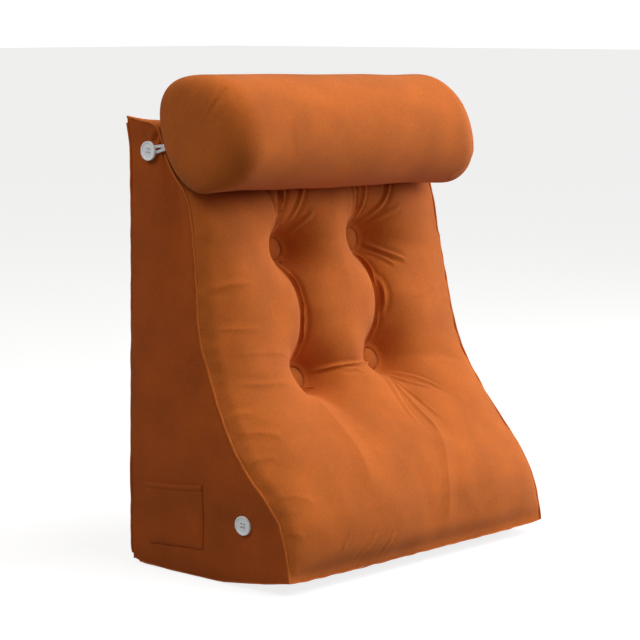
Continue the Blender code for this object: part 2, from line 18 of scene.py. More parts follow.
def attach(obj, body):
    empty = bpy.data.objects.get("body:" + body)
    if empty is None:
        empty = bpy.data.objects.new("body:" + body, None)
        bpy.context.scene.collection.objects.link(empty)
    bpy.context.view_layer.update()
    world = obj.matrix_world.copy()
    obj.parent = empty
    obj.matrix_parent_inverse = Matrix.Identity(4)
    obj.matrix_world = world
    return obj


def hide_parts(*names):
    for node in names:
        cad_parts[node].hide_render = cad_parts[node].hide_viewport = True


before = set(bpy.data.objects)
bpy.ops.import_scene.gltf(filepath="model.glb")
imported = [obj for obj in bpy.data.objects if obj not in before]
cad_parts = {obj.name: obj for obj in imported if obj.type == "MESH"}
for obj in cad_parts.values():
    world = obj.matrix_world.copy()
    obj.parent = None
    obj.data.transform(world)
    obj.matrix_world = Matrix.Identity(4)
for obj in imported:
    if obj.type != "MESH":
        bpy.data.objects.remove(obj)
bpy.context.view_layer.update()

# The bolster
# A roll of brushed cloth with two sewn ends, filled until it is firm. It lies on the front of the
# wedge's top, a little to the left, and both its ends lean, their lower halves further to the right.
BOLSTER_RADIUS = 0.0722
BOLSTER_SQUARENESS = 2.23
BOLSTER_HALF_LENGTH = 0.239
BOLSTER_CENTRE = (-0.014, 0.008, 0.5478)
BOLSTER_YAW = math.radians(-0.6)
BOLSTER_TILT = math.radians(1.0)
BOLSTER_LEAN_REACH = 0.120
BOLSTER_CORNER_FROM = 0.140
BOLSTER_DENT_GAP = 0.0008
BOLSTER_DENT_EASE = 0.008
BOLSTER_DENT_WITHIN = 0.05
BOLSTER_DENT_PAST_END = 1.06
BOLSTER_LEAN = {-1: 0.12, 1: 0.34}
BOLSTER_CAP_SHARE = 0.86
BOLSTER_UNEVEN, BOLSTER_UNEVEN_OVER, BOLSTER_UNEVEN_SEED = 0.0016, 0.075, 3

# How each end rounds off: the angle around it in degrees, with 0 its back, 90 its top and 180 its
# front, the length over which it rounds, and the power of its curve
BOLSTER_ENDS = {
    -1: (
        (0, 0.030, 4.5), (50, 0.030, 4.5), (90, 0.040, 3.2), (135, 0.050, 2.7), (180, 0.054, 2.7),
        (215, 0.048, 2.8), (242, 0.042, 3.2), (270, 0.022, 5.0), (300, 0.026, 4.4), (330, 0.032, 4.0),
    ),
    1: (
        (0, 0.050, 2.5), (90, 0.060, 1.9), (150, 0.062, 2.0), (200, 0.056, 2.2), (235, 0.052, 2.4),
        (265, 0.038, 3.2), (300, 0.046, 2.7),
    ),
}
END_LENGTH_MOST = 0.062
END_SMOOTHING = 16
# Where an end's stuffing pushes the cloth out, or its seam draws it in: end, angle, size, sharpness
BOLSTER_LOBES = (
    (-1, 275, 0.0050, 14), (-1, 38, 0.0080, 6), (-1, 100, -0.0022, 4), (1, 268, 0.0050, 18),
    (1, 128, -0.0022, 30),
)
BOLSTER_STATIONS = 132
BOLSTER_SIDES = 144
BOLSTER_PLACE = np.array(
    Matrix.Translation(BOLSTER_CENTRE)
    @ Matrix.Rotation(BOLSTER_TILT, 4, "Y")
    @ Matrix.Rotation(BOLSTER_YAW, 4, "Z")
)

# Creases of the bolster: place along it and angle around it where each starts and where it ends,
# its depth and width, and the height of the lip beside it
BOLSTER_FOLDS = (
    (-0.252, 258, -0.176, 262, 0.0040, 0.0210, 0.0),
    (-0.237, 134, -0.222, 126, 0.0030, 0.0028, 0.0020),
    (-0.232, 118, -0.214, 112, 0.0014, 0.0026, 0.0010),
    (-0.222, 262, -0.170, 244, 0.0018, 0.0030, 0.0014),
    (-0.150, 168, -0.132, 205, 0.0007, 0.0030, 0.0003),
    (0.020, 120, 0.032, 168, 0.0005, 0.0040, 0.0002),
    (0.196, 236, 0.220, 212, 0.0022, 0.0040, 0.0012),
)


def smooth_around(rows):
    """An end's lengths and powers for every degree around it, without kinks."""
    degrees = np.arange(360)
    angles, lengths, powers = zip(*rows)
    spread = np.exp(-0.5 * (((degrees + 180) % 360 - 180) / END_SMOOTHING) ** 2)
    spread /= spread.sum()
    smoothed = []
    for values in (lengths, powers):
        around = np.interp(degrees, angles, values, period=360)
        smoothed.append(np.real(np.fft.ifft(np.fft.fft(around) * np.fft.fft(spread))))
    return smoothed


END_TABLES = {end: smooth_around(rows) for end, rows in BOLSTER_ENDS.items()}


def side_of(values, left, right):
    """One of two numbers for each value, by its sign."""
    return np.where(values < 0, left, right)


def bolster_lean(across, height):
    """How far the slumped ends shift the bolster's cloth along its length."""
    lean = side_of(across, BOLSTER_LEAN[-1], BOLSTER_LEAN[1])
    near = (np.abs(across) - (BOLSTER_HALF_LENGTH - BOLSTER_LEAN_REACH)) / BOLSTER_LEAN_REACH
    return -lean * np.clip(near, 0, 1) ** 1.5 * height


def bolster_radius(across, angle):
    """Distance from the bolster's own axis to its cloth, at this place along and around it."""
    around = np.degrees(angle) % 360
    length, power = (
        side_of(across, *(np.interp(around, np.arange(360), values, period=360) for values in pair))
        for pair in zip(END_TABLES[-1], END_TABLES[1])
    )
    into_end = np.clip((np.abs(across) - (BOLSTER_HALF_LENGTH - length)) / length, 0, 1)
    square = BOLSTER_SQUARENESS
    section = (np.abs(np.cos(angle)) ** square + np.abs(np.sin(angle)) ** square) ** (-1 / square)
    rounded = (1 - into_end ** power) ** (1 / power)
    corner_run = BOLSTER_HALF_LENGTH - BOLSTER_CORNER_FROM
    near_end = np.clip((np.abs(across) - BOLSTER_CORNER_FROM) / corner_run, 0, None)
    swell = 0
    for end, turn, size, sharpness in BOLSTER_LOBES:
        nearby = np.clip(np.cos(angle - math.radians(turn)), 0, None) ** sharpness
        swell = swell + size * nearby * (np.sign(across) == end)
    return (BOLSTER_RADIUS * section + swell * near_end ** 1.5) * rounded


def to_bolster(points):
    """World points in the bolster's own frame, its axis along X."""
    turn = BOLSTER_PLACE[:3, :3]
    return (points - BOLSTER_PLACE[:3, 3]) @ turn


def from_bolster(points):
    return points @ BOLSTER_PLACE[:3, :3].T + BOLSTER_PLACE[:3, 3]


def distance_to_line(u, v, points):
    """Distance from places (u, v) to a bent line, its sign by side, and the share along the line."""
    best = np.full(u.shape, 1e9)
    side = np.ones(u.shape)
    share = np.zeros(u.shape)
    steps = [math.dist(a, b) for a, b in zip(points, points[1:])]
    total, run = sum(steps), 0.0
    for (a, b), step in zip(zip(points, points[1:]), steps):
        du, dv = b[0] - a[0], b[1] - a[1]
        along = np.clip(((u - a[0]) * du + (v - a[1]) * dv) / step ** 2, 0, 1)
        off_u, off_v = u - a[0] - along * du, v - a[1] - along * dv
        distance = np.hypot(off_u, off_v)
        closer = distance < best
        best = np.where(closer, distance, best)
        side = np.where(closer, np.sign(off_u * dv - off_v * du), side)
        share = np.where(closer, (run + along * step) / total, share)
        run += step
    return best, side, share


def wander(points, size, seed):
    """Soft random numbers over points in space, from -1 to 1, that change over this size."""
    seed_set(seed)
    shift = Vector((seed * 7.31, seed * 3.17, seed * 5.71))
    return np.array([noise_vector(Vector(p) / size + shift)[0] for p in points])


def make_mesh(name, verts, faces, uv_of_face=None):
    """A new object, unturned at the origin, with its points, faces and a UV map in metres."""
    mesh = bpy.data.meshes.new(name)
    mesh.from_pydata([tuple(v) for v in verts], [], faces)
    if uv_of_face is not None:
        layer = mesh.uv_layers.new(name="cloth")
        flat = [c for corners in uv_of_face for uv in corners for c in uv]
        layer.data.foreach_set("uv", flat)
    mesh.validate()
    mesh.update()
    item = bpy.data.objects.new(name, mesh)
    bpy.context.scene.collection.objects.link(item)
    return item


def make_bolster():
    """The bolster's cloth as rings of points around its axis, closed at each end's middle."""
    stations = []
    for side in (-1, 1):
        straight = BOLSTER_HALF_LENGTH - END_LENGTH_MOST
        body = np.linspace(0, straight, BOLSTER_STATIONS // 4, endpoint=False)
        turn = np.linspace(0, math.pi / 2, BOLSTER_STATIONS // 2, endpoint=False)
        cap = straight + END_LENGTH_MOST * np.sin(turn) ** 0.75
        stations.append(side * np.concatenate([body, cap]))
    across = np.concatenate([stations[0][:0:-1], stations[1]])
    angles = np.linspace(0, 2 * math.pi, BOLSTER_SIDES, endpoint=False)
    grid_across, grid_angle = np.meshgrid(across, angles, indexing="ij")
    radius = bolster_radius(grid_across, grid_angle)
    for start, start_turn, stop, stop_turn, depth, width, lip in BOLSTER_FOLDS:
        line = [(a, math.radians(b) * BOLSTER_RADIUS) for a, b in ((start, start_turn), (stop, stop_turn))]
        off, side, share = distance_to_line(grid_across, grid_angle * BOLSTER_RADIUS, line)
        fade = np.sin(math.pi * np.clip(share, 0.12, 0.88)) ** 0.5
        radius -= depth * fade * np.exp(-(off / width) ** 1.3)
        radius += lip * fade * np.exp(-((side * off - 2 * width) / width) ** 2)
    y, z = radius * np.cos(grid_angle), radius * np.sin(grid_angle)
    inside = np.stack([grid_across + bolster_lean(grid_across, z), y, z], axis=-1).reshape(-1, 3)
    inside = np.append(inside, [(-BOLSTER_HALF_LENGTH, 0, 0), (BOLSTER_HALF_LENGTH, 0, 0)], axis=0)
    verts = from_bolster(inside)
    out = verts - from_bolster(inside * (1, 0, 0))
    out /= np.maximum(np.linalg.norm(out, axis=1, keepdims=True), 1e-9)
    uneven = wander(verts, BOLSTER_UNEVEN_OVER, BOLSTER_UNEVEN_SEED) * BOLSTER_UNEVEN
    verts = verts + out * uneven[:, None]
    count, sides = grid_across.shape
    faces, uvs = [], []
    for i in range(count - 1):
        for j in range(sides):
            k = (j + 1) % sides
            corners = (i * sides + j, i * sides + k, (i + 1) * sides + k, (i + 1) * sides + j)
            faces.append(corners)
            low, high = angles[j] * BOLSTER_RADIUS, (angles[j] + angles[1]) * BOLSTER_RADIUS
            if min(radius[i, j], radius[i + 1, j]) < BOLSTER_CAP_SHARE * BOLSTER_RADIUS:
                uvs.append([tuple(inside[c, 1:]) for c in corners])
            else:
                uvs.append(((across[i], low), (across[i], high), (across[i + 1], high), (across[i + 1], low)))
    for ring, pole, end in ((0, count * sides, -1), (count - 1, count * sides + 1, 1)):
        for j in range(sides):
            corners = (ring * sides + j, ring * sides + (j + 1) % sides, pole)[::end]
            faces.append(corners)
            uvs.append([(0, 0) if c == pole else tuple(inside[c, 1:]) for c in corners])
    return make_mesh("bolster_cover", verts, faces, uvs)


def select_only(*items):
    """Selects just these objects and makes the first one active."""
    bpy.ops.object.select_all(action="DESELECT")
    for item in items:
        item.select_set(True)
    bpy.context.view_layer.objects.active = items[0]


def smooth(item, angle=60):
    select_only(item)
    bpy.ops.object.shade_smooth_by_angle(angle=math.radians(angle))
    item.select_set(False)


def turn_outwards(item, merge=0.00001):
    """Merges points closer than this and turns every face outwards."""
    work = bmesh.new()
    work.from_mesh(item.data)
    if merge:
        bmesh.ops.remove_doubles(work, verts=work.verts, dist=merge)
    bmesh.ops.recalc_face_normals(work, faces=work.faces)
    work.to_mesh(item.data)
    work.free()


# The cover cloth: a fine brushed weave, matt, with a soft sheen and barely uneven dye
THREAD_PITCH = 0.0006
DYE_SPREAD = 0.15
NAP_SCALE, DYE_SCALE, FLECK_SCALE = 900, 16, 420
WEAVE_SHARE = 0.35
FLECK_SHARE = 0.4
COVER_COLOUR = (0.50, 0.117, 0.0125)


def add_node(tree, kind, inputs, operation=None, data_type=None):
    """A shader node, its inputs set to values or linked to other nodes' sockets."""
    node = tree.nodes.new(f"ShaderNode{kind}")
    if operation:
        node.operation = operation
    if data_type:
        node.data_type = data_type
    for socket, value in inputs.items():
        if isinstance(value, bpy.types.NodeSocket):
            tree.links.new(value, node.inputs[socket])
        else:
            node.inputs[socket].default_value = value
    return node


def make_brushed_weave():
    """Node group: a plain weave at a place on the cloth, under a nap at a spot on the object."""
    group = bpy.data.node_groups.new("brushed_weave", "ShaderNodeTree")
    for name in ("Place", "Spot"):
        group.interface.new_socket(name, in_out="INPUT", socket_type="NodeSocketVector")
    group.interface.new_socket("Pitch", in_out="INPUT", socket_type="NodeSocketFloat")
    for name in ("Height", "Tone"):
        group.interface.new_socket(name, in_out="OUTPUT", socket_type="NodeSocketFloat")
    entry, leave = group.nodes.new("NodeGroupInput"), group.nodes.new("NodeGroupOutput")
    place, spot, pitch = (entry.outputs[name] for name in ("Place", "Spot", "Pitch"))
    cycles = add_node(group, "Math", {0: 2 * math.pi, 1: pitch}, operation="DIVIDE")
    scaled = add_node(group, "VectorMath", {0: place, "Scale": cycles.outputs[0]}, operation="SCALE")
    parts = add_node(group, "SeparateXYZ", {0: scaled.outputs[0]}).outputs
    warp, weft = (add_node(group, "Math", {0: parts[axis]}, operation="SINE") for axis in "XY")
    woven = add_node(group, "Math", {0: warp.outputs[0], 1: weft.outputs[0]}, operation="MULTIPLY")
    nap, dye, fleck = (
        add_node(group, "TexNoise", {"Vector": spot, "Scale": scale, "Detail": detail}).outputs["Fac"]
        for scale, detail in ((NAP_SCALE, 3), (DYE_SCALE, 5), (FLECK_SCALE, 2))
    )
    height = add_node(group, "Math", {0: woven.outputs[0], 1: WEAVE_SHARE, 2: nap}, operation="MULTIPLY_ADD")
    tone = add_node(group, "Mix", {"Factor": FLECK_SHARE, "A": dye, "B": fleck}, data_type="FLOAT")
    group.links.new(height.outputs[0], leave.inputs["Height"])
    group.links.new(tone.outputs["Result"], leave.inputs["Tone"])
    return group


brushed_weave = make_brushed_weave()


def new_material(name, **values):
    """A material, its node tree and its shader, with these constants on the shader's sockets."""
    material = bpy.data.materials.new(name)
    material.use_nodes = True
    shader = material.node_tree.nodes["Principled BSDF"]
    for socket, value in values.items():
        shader.inputs[socket.replace("_", " ")].default_value = value
    return material, material.node_tree, shader


def make_cloth(name, colour, shade=1.0, place="UV", bump=0.25):
    """A cloth material: the dye's colour a little lighter and darker, and the weave as bump. Shade lightens
    or darkens the whole colour, for copies that paint highlight or shade.
    """
    material, tree, shader = new_material(
        name, Roughness=0.88, Specular_IOR_Level=0.25, Sheen_Weight=0.12, Sheen_Roughness=0.45,
        Sheen_Tint=(1.0, 0.72, 0.52, 1.0),
    )
    where = tree.nodes.new("ShaderNodeTexCoord").outputs
    weave = tree.nodes.new("ShaderNodeGroup")
    weave.node_tree = brushed_weave
    weave.inputs["Pitch"].default_value = THREAD_PITCH
    tree.links.new(where[place], weave.inputs["Place"])
    tree.links.new(where["Object"], weave.inputs["Spot"])
    ramp = add_node(tree, "ValToRGB", {"Fac": weave.outputs["Tone"]})
    for end, position, tone in zip(ramp.color_ramp.elements, (0.36, 0.64), (1 - DYE_SPREAD, 1 + DYE_SPREAD)):
        end.position = position
        end.color = [c * shade * tone for c in colour] + [1.0]
    bumps = {"Strength": bump, "Distance": 0.0004, "Height": weave.outputs["Height"]}
    relief = add_node(tree, "Bump", bumps)
    tree.links.new(ramp.outputs["Color"], shader.inputs["Base Color"])
    tree.links.new(relief.outputs["Normal"], shader.inputs["Normal"])
    return material


cover_cloth = make_cloth("cover_cloth", COVER_COLOUR)
bolster = make_bolster()
turn_outwards(bolster)
smooth(bolster)
bolster.data.materials.append(cover_cloth)
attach(bolster, "root")
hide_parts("bolster")

# The wedge's cover
# Six panels of the same cloth, sewn along the edges and filled until they swell: back, base, two
# sides, and one long panel that runs from the back edge over the top and down the tufted front.
MM = 1000
BACK_Y = 0.140
BACK_HALF_WIDTH = 0.245
BACK_TOP_SAG = 0.010
BACK_TOP_SAG_RUN = 0.1
BACK_CROWN = 0.006
SIDE_CROWN = 0.006
BASE_FRONT_LIFT = 0.0155
BASE_BACK_LIFT = 0.003
BASE_ROUND = 0.020
BASE_ROUND_PER_LIFT = 6.5
BASE_ROUND_POWER = 1.25
BASE_DEPTH = 0.281
CROWN_POWER = 2.6
CROWN_ROUNDNESS = 0.6
LEFT_ROUNDNESS = 0.32
LEFT_FULLNESS = 1.20
STRAIGHT_COLUMNS = 0.100
TUFT_X = 0.075
TUFT_SUNK = 0.0262
TUFT_SEAT = 0.0155
TUFT_REACH = 0.020
TUFT_REACH_LEAN = 0.001
TUFT_CREASE = 0.0024
TUFT_CREASE_AT = 0.0172
TUFT_CREASE_WIDTH = 0.0022
CREASE_BEND = {-1: 0.0035, 1: 0.0065}
CREASE_BEND_REACH = 0.05
NECK_IN = 0.0112
NOTCH_IN = 0.0040
NOTCH_DOWN = 0.216
NOTCH_LENGTH = 0.005
NECK_FROM = 0.130
NECK_TO = 0.450
LEFT_FROM = 0.090
LEFT_RUN = 0.080
TOP_END = 0.135
MIDDLE_COLUMNS = 12
OUTER_COLUMNS = 27
FRONT_ROWS = 80
TOP_STEPS = 20

# The seam down each side of the front: height, depth from the back edge, half width of the panel
FRONT_SEAM = (
    (0.568, 0.001, 0.2450), (0.565, 0.022, 0.2435), (0.558, 0.048, 0.2400), (0.523, 0.068, 0.2365),
    (0.487, 0.087, 0.2345), (0.460, 0.0975, 0.2325), (0.402, 0.108, 0.2345), (0.350, 0.116, 0.2390),
    (0.300, 0.1245, 0.2430), (0.250, 0.142, 0.2420), (0.211, 0.162, 0.2450), (0.175, 0.187, 0.2500),
    (0.140, 0.217, 0.2515), (0.110, 0.245, 0.2490), (0.085, 0.263, 0.2465), (0.055, 0.274, 0.2475),
    (0.018, 0.281, 0.2480),
)
# How far the base's side edges lift off the floor, by depth, and how far the front panel stands out
# in its middle, by the way down it from the back edge
BASE_SIDE_EDGE = (
    (0.000, 0.0045), (0.025, 0.0025), (0.100, 0.0012), (0.150, 0.0006), (0.185, 0.0028), (0.225, 0.0060),
    (0.260, 0.0120), (0.281, 0.0180),
)
FRONT_CROWN = (
    (0.000, 0.000), (0.020, 0.007), (0.070, 0.011), (0.130, 0.017), (0.190, 0.028), (0.260, 0.034),
    (0.340, 0.034), (0.410, 0.031), (0.480, 0.027), (0.550, 0.0270), (0.585, 0.0245), (0.606, 0.0190),
    (0.628, 0.0115), (0.6442, 0.000),
)

# Broad valleys that the tufting pulls into the filling, in millimetres: the places along each, as x
# and the way down from the back edge, its depth and width, and whether it fades out along its run
VALLEYS = (
    (((-75, 220), (-73, 285), (-72, 330), (-75, 384)), 26, 17, 0),
    (((75, 217), (81, 275), (81, 325), (75, 376)), 26, 17, 0),
    (((-75, 220), (-83, 160), (-78, 120)), 12, 12, 1),
    (((-75, 220), (-52, 165), (-40, 145)), 6, 12, 1),
    (((75, 217), (68, 130)), 9, 12, 1),
    (((75, 217), (110, 186), (132, 150)), 8, 12, 1),
    (((-75, 220), (-215, 240)), 5, 22, 1),
    (((75, 217), (225, 250)), 9, 18, 1),
    (((-75, 220), (75, 217)), 4, 24, 0),
    (((-75, 384), (0, 386), (75, 376)), 12, 14, 0),
    (((-75, 384), (-110, 366), (-215, 352)), 7, 20, 1),
    (((75, 376), (225, 410)), 8, 18, 1),
    (((75, 376), (112, 420), (175, 500)), 8, 20, 1),
    (((75, 376), (85, 520)), 5, 22, 1),
    (((-75, 384), (-50, 520)), 7, 24, 1),
    (((-75, 384), (-150, 480)), 4, 20, 1),
)
TUFTS = {
    "upper_left": (-TUFT_X, 0.2205),
    "upper_right": (TUFT_X, 0.2165),
    "lower_left": (-TUFT_X, 0.3842),
    "lower_right": (TUFT_X, 0.3752),
}


def smooth_rows(rows, steps=16):
    """Points of the smooth curve through a table's rows."""
    points = []
    table = [np.array(row) for row in rows]
    for i in range(len(table) - 1):
        a, b = table[max(i - 1, 0)], table[i]
        c, d = table[i + 1], table[min(i + 2, len(table) - 1)]
        for step in range(steps):
            t = step / steps
            bend = (2 * a - 5 * b + 4 * c - d) * t * t + (3 * b - a - 3 * c + d) * t ** 3
            points.append(0.5 * (2 * b + (c - a) * t + bend))
    points.append(table[-1])
    return np.array(points)


SEAM = smooth_rows(FRONT_SEAM)
SEAM_LENGTHS = np.concatenate([[0], np.cumsum(np.hypot(*np.diff(SEAM[:, :2], axis=0).T))])
PANEL_LENGTH = SEAM_LENGTHS[-1]
SEAM_SPAN = 0.006


def seam_at(down):
    """Height, depth and half width of the seam, this far down the front panel."""
    down = np.clip(down, 0, PANEL_LENGTH)
    return [np.interp(down, SEAM_LENGTHS, SEAM[:, i]) for i in range(3)]


def seam_frame(down):
    """The seam's middle line and its outward normal, as arrays, with the half width."""
    height, depth, half_width = seam_at(down)
    high_height, high_depth, _ = seam_at(down - SEAM_SPAN)
    low_height, low_depth, _ = seam_at(down + SEAM_SPAN)
    run, drop = high_depth - low_depth, low_height - high_height
    length = np.hypot(run, drop)
    normal = np.stack([0 * height, drop / length, -run / length], axis=-1)
    middle = np.stack([0 * height, BACK_Y - depth, height], axis=-1)
    return middle, normal, half_width


def in_metres(places):
    return [tuple(value / MM for value in place) for place in places]


def lookup(rows, position):
    table = np.array(rows)
    return np.interp(position, table[:, 0], table[:, 1])


def front_crown(across, down, half_width):
    """How far the front panel stands out of the plane of its side seams."""
    share = np.clip(np.abs(across) / half_width, 0, 1)
    low_down = np.clip((down - LEFT_FROM) / LEFT_RUN, 0, 1) * (across < 0)
    roundness = CROWN_ROUNDNESS + (LEFT_ROUNDNESS - CROWN_ROUNDNESS) * low_down
    edge = (1 - share ** CROWN_POWER) ** roundness
    free = lookup(FRONT_CROWN, down) * edge * (1 + (LEFT_FULLNESS - 1) * low_down * np.clip(share * 3, 0, 1))
    for places, depth, width, fades in VALLEYS:
        off, _, along = distance_to_line(across, down, in_metres(places))
        free -= depth / MM * (1 - fades * along ** 1.5) * edge * np.exp(-off / (width / MM))
    pulled = np.ones(across.shape)
    for tuft_x, tuft_down in TUFTS.values():
        off = np.hypot(across - tuft_x, down - tuft_down)
        off = np.clip(off - TUFT_SEAT, 0, None)
        reach = TUFT_REACH + TUFT_REACH_LEAN * np.tanh((across - tuft_x) / 0.010)
        pulled = np.minimum(pulled, 1 - np.exp(-off / reach))
    return free * pulled - TUFT_SUNK * (1 - pulled)


def push_clear_of_bolster(points):
    """Moves the wedge's cloth out of the bolster that rests on it, as the filling gives way."""
    inside = to_bolster(points)
    across = (inside[..., 0] - bolster_lean(inside[..., 0], inside[..., 2])) / BOLSTER_DENT_PAST_END
    distance = np.hypot(inside[..., 1], inside[..., 2])
    radius = bolster_radius(across, np.arctan2(inside[..., 2], inside[..., 1]))
    over = distance - radius - BOLSTER_DENT_GAP
    eased = radius + BOLSTER_DENT_GAP + 0.5 * (over + np.sqrt(over ** 2 + BOLSTER_DENT_EASE ** 2))
    near = (radius > 0.001) & (distance < radius + BOLSTER_DENT_WITHIN)
    scale = np.where(near, eased / distance, 1)
    moved = inside * np.stack([np.ones(scale.shape), scale, scale], axis=-1)
    return from_bolster(moved)


def crease_shift(column, down):
    """How far the columns through the buttons bend to the right between them, with the creases."""
    shift = 0
    for sign, most in CREASE_BEND.items():
        (_, upper), (_, lower) = TUFTS["upper_left" if sign < 0 else "upper_right"], TUFTS["lower_left"]
        along = np.clip((down - upper) / (lower - upper), 0, 1)
        near = np.clip(1 - np.abs(column - sign * TUFT_X) / CREASE_BEND_REACH, 0, 1)
        shift = shift + most * np.sin(math.pi * along) * near
    return shift


def front_points(columns, downs):
    column, down = np.meshgrid(columns, downs)
    column = column + crease_shift(column, down)
    middle, normal, half_width = seam_frame(down)
    outer = np.clip(np.abs(column) - STRAIGHT_COLUMNS, 0, None) / (BACK_HALF_WIDTH - STRAIGHT_COLUMNS)
    across = column + np.sign(column) * outer * (half_width - BACK_HALF_WIDTH)
    neck = np.clip((down - NECK_FROM) / (NECK_TO - NECK_FROM), 0, 1)
    across -= np.where(column > 0, outer, 0) * NECK_IN * np.sin(math.pi * neck) ** 0.7
    notch = np.exp(-((down - NOTCH_DOWN) / NOTCH_LENGTH) ** 2)
    across -= np.where(column > 0, outer ** 2, 0) * NOTCH_IN * notch
    crown = front_crown(across, down, half_width)
    points = middle + normal * crown[..., None]
    points[..., 0] = across
    sag = BACK_TOP_SAG * (1 - (np.abs(column) / BACK_HALF_WIDTH) ** 4)
    points[..., 2] -= sag * np.clip(1 - down / BACK_TOP_SAG_RUN, 0, 1)
    return push_clear_of_bolster(points)


def base_points(columns, depths):
    column, depth = np.meshgrid(columns, depths)
    share = depth / BASE_DEPTH
    half_width = BACK_HALF_WIDTH + (FRONT_SEAM[-1][2] - BACK_HALF_WIDTH) * share
    corner = (np.abs(column) / BACK_HALF_WIDTH) ** 6
    x = column * half_width / BACK_HALF_WIDTH
    side_lift = lookup(BASE_SIDE_EDGE, depth)
    front_lift = BASE_FRONT_LIFT + (BASE_SIDE_EDGE[-1][1] - BASE_FRONT_LIFT) * corner
    back_lift = BASE_BACK_LIFT + (BASE_SIDE_EDGE[0][1] - BASE_BACK_LIFT) * corner
    lift = np.zeros(column.shape)
    side_gap = half_width - np.abs(x)
    for height, gap in ((side_lift, side_gap), (front_lift, BASE_DEPTH - depth), (back_lift, depth)):
        run = BASE_ROUND + BASE_ROUND_PER_LIFT * height
        lift = np.maximum(lift, height * np.clip(1 - gap / run, 0, None) ** BASE_ROUND_POWER)
    return np.stack([x, BACK_Y - depth, lift], axis=-1)


def panel_grids():
    """The wedge's panels as grids of points that share their seams, with a UV place for each."""
    middle = np.linspace(0, TUFT_X, MIDDLE_COLUMNS + 1)
    outer = np.linspace(TUFT_X, BACK_HALF_WIDTH, OUTER_COLUMNS + 1)
    half = np.concatenate([middle, outer[1:]])
    columns = np.concatenate([-half[:0:-1], half])
    top_downs = np.linspace(0, TOP_END, TOP_STEPS + 1)
    downs = np.linspace(TOP_END, PANEL_LENGTH, FRONT_ROWS + 1)
    depths = np.linspace(0, 1, TOP_STEPS + 1) * BASE_DEPTH
    top = front_points(columns, top_downs)
    front = front_points(columns, downs)
    base = base_points(columns, depths)
    front[-1] = base[-1]
    share = np.linspace(0, 1, FRONT_ROWS + 1)[:, None, None]
    back = top[0][None] * (1 - share) + base[0][None] * share
    edge = 1 - (np.abs(columns) / BACK_HALF_WIDTH) ** 4
    back[..., 1] += BACK_CROWN * edge[None] * np.sin(math.pi * share[..., 0]) ** CROWN_ROUNDNESS
    places = np.stack(np.meshgrid(columns, -downs), axis=-1)
    places[..., 0] += crease_shift(places[..., 0], -places[..., 1])
    grids = {
        "top": (top, np.stack(np.meshgrid(columns, -top_downs), axis=-1)),
        "front": (front, places),
        "base": (base, np.stack(np.meshgrid(columns, depths + 1.0), axis=-1)),
        "back": (back, np.stack(np.meshgrid(columns, 1 - downs), axis=-1) + (0.6, 0)),
    }
    down = np.linspace(0, 1, FRONT_ROWS + 1)[:, None, None]
    along = np.linspace(0, 1, TOP_STEPS + 1)[None, :, None]
    for name, edge in (("left", 0), ("right", -1)):
        upper, lower = top[:, edge][None], base[:, edge][None]
        behind, ahead = back[:, edge][:, None], front[:, edge][:, None]
        grid = upper * (1 - down) + lower * down + behind * (1 - along) + ahead * along
        grid = grid - behind[:1] * ((1 - along) * (1 - down)) - ahead[:1] * (along * (1 - down))
        grid = grid - behind[-1:] * ((1 - along) * down) - ahead[-1:] * (along * down)
        swell = SIDE_CROWN * (np.sin(math.pi * down) * np.sin(math.pi * along)) ** CROWN_ROUNDNESS
        grid[..., 0] += (-1 if name == "left" else 1) * swell[..., 0]
        inner = push_clear_of_bolster(grid)
        grid[1:-1, 1:-1] = inner[1:-1, 1:-1]
        grids[name] = (grid, grid[..., 1:] + (1.5, 0))
    return grids


def stitch_panels(name, grids):
    """One mesh of all the panels, which meet in shared points at the seams."""
    index, verts, faces, uvs, marks, slots, seam = {}, [], [], [], [], [], set()
    for panel, (points, places) in grids.items():
        rows, columns = points.shape[:2]
        ids = np.zeros((rows, columns), int)
        for i in range(rows):
            for j in range(columns):
                on_edge = i in (0, rows - 1) or j in (0, columns - 1)
                key = tuple(np.round(points[i, j] * 1e5).astype(int)) if on_edge else None
                if key is not None and key in index:
                    ids[i, j] = index[key]
                    if panel != "front" or i > 0:
                        seam.add(index[key])
                    continue
                ids[i, j] = len(verts)
                verts.append(points[i, j])
                marks.append((places[i, j][0], -places[i, j][1], float(panel in ("top", "front"))))
                if key is not None:
                    index[key] = ids[i, j]
        flip = panel in ("base", "back", "left")
        for i in range(rows - 1):
            for j in range(columns - 1):
                corners = ((i, j), (i, j + 1), (i + 1, j + 1), (i + 1, j))
                corners = corners[::-1] if flip else corners
                # The side panels take the second slot, the darker copy of the cloth that paints their shade
                slots.append(int(panel in ("left", "right")))
                faces.append([ids[c] for c in corners])
                uvs.append([tuple(places[c]) for c in corners])
    item = make_mesh(name, verts, faces, uvs)
    item.data.polygons.foreach_set("material_index", slots)
    for column, mark in enumerate(("across", "down", "on_front")):
        values = item.data.attributes.new(mark, "FLOAT", "POINT")
        values.data.foreach_set("value", [row[column] for row in marks])
    crease = item.data.attributes.new("crease_edge", "FLOAT", "EDGE")
    sharp = [float(e.vertices[0] in seam and e.vertices[1] in seam) for e in item.data.edges]
    crease.data.foreach_set("value", sharp)
    return item


def read_marks(item):
    """Where each point lies on the front panel: across, down, and 1 if it is on that panel."""
    marks = []
    for mark in ("across", "down", "on_front"):
        values = np.zeros(len(item.data.vertices))
        item.data.attributes[mark].data.foreach_get("value", values)
        marks.append(values)
    return marks


def read_points(item, what="co"):
    values = np.zeros(len(item.data.vertices) * 3)
    item.data.vertices.foreach_get(what, values)
    return values.reshape(-1, 3)


def apply_all(item):
    select_only(item)
    for modifier in list(item.modifiers):
        bpy.ops.object.modifier_apply(modifier=modifier.name)


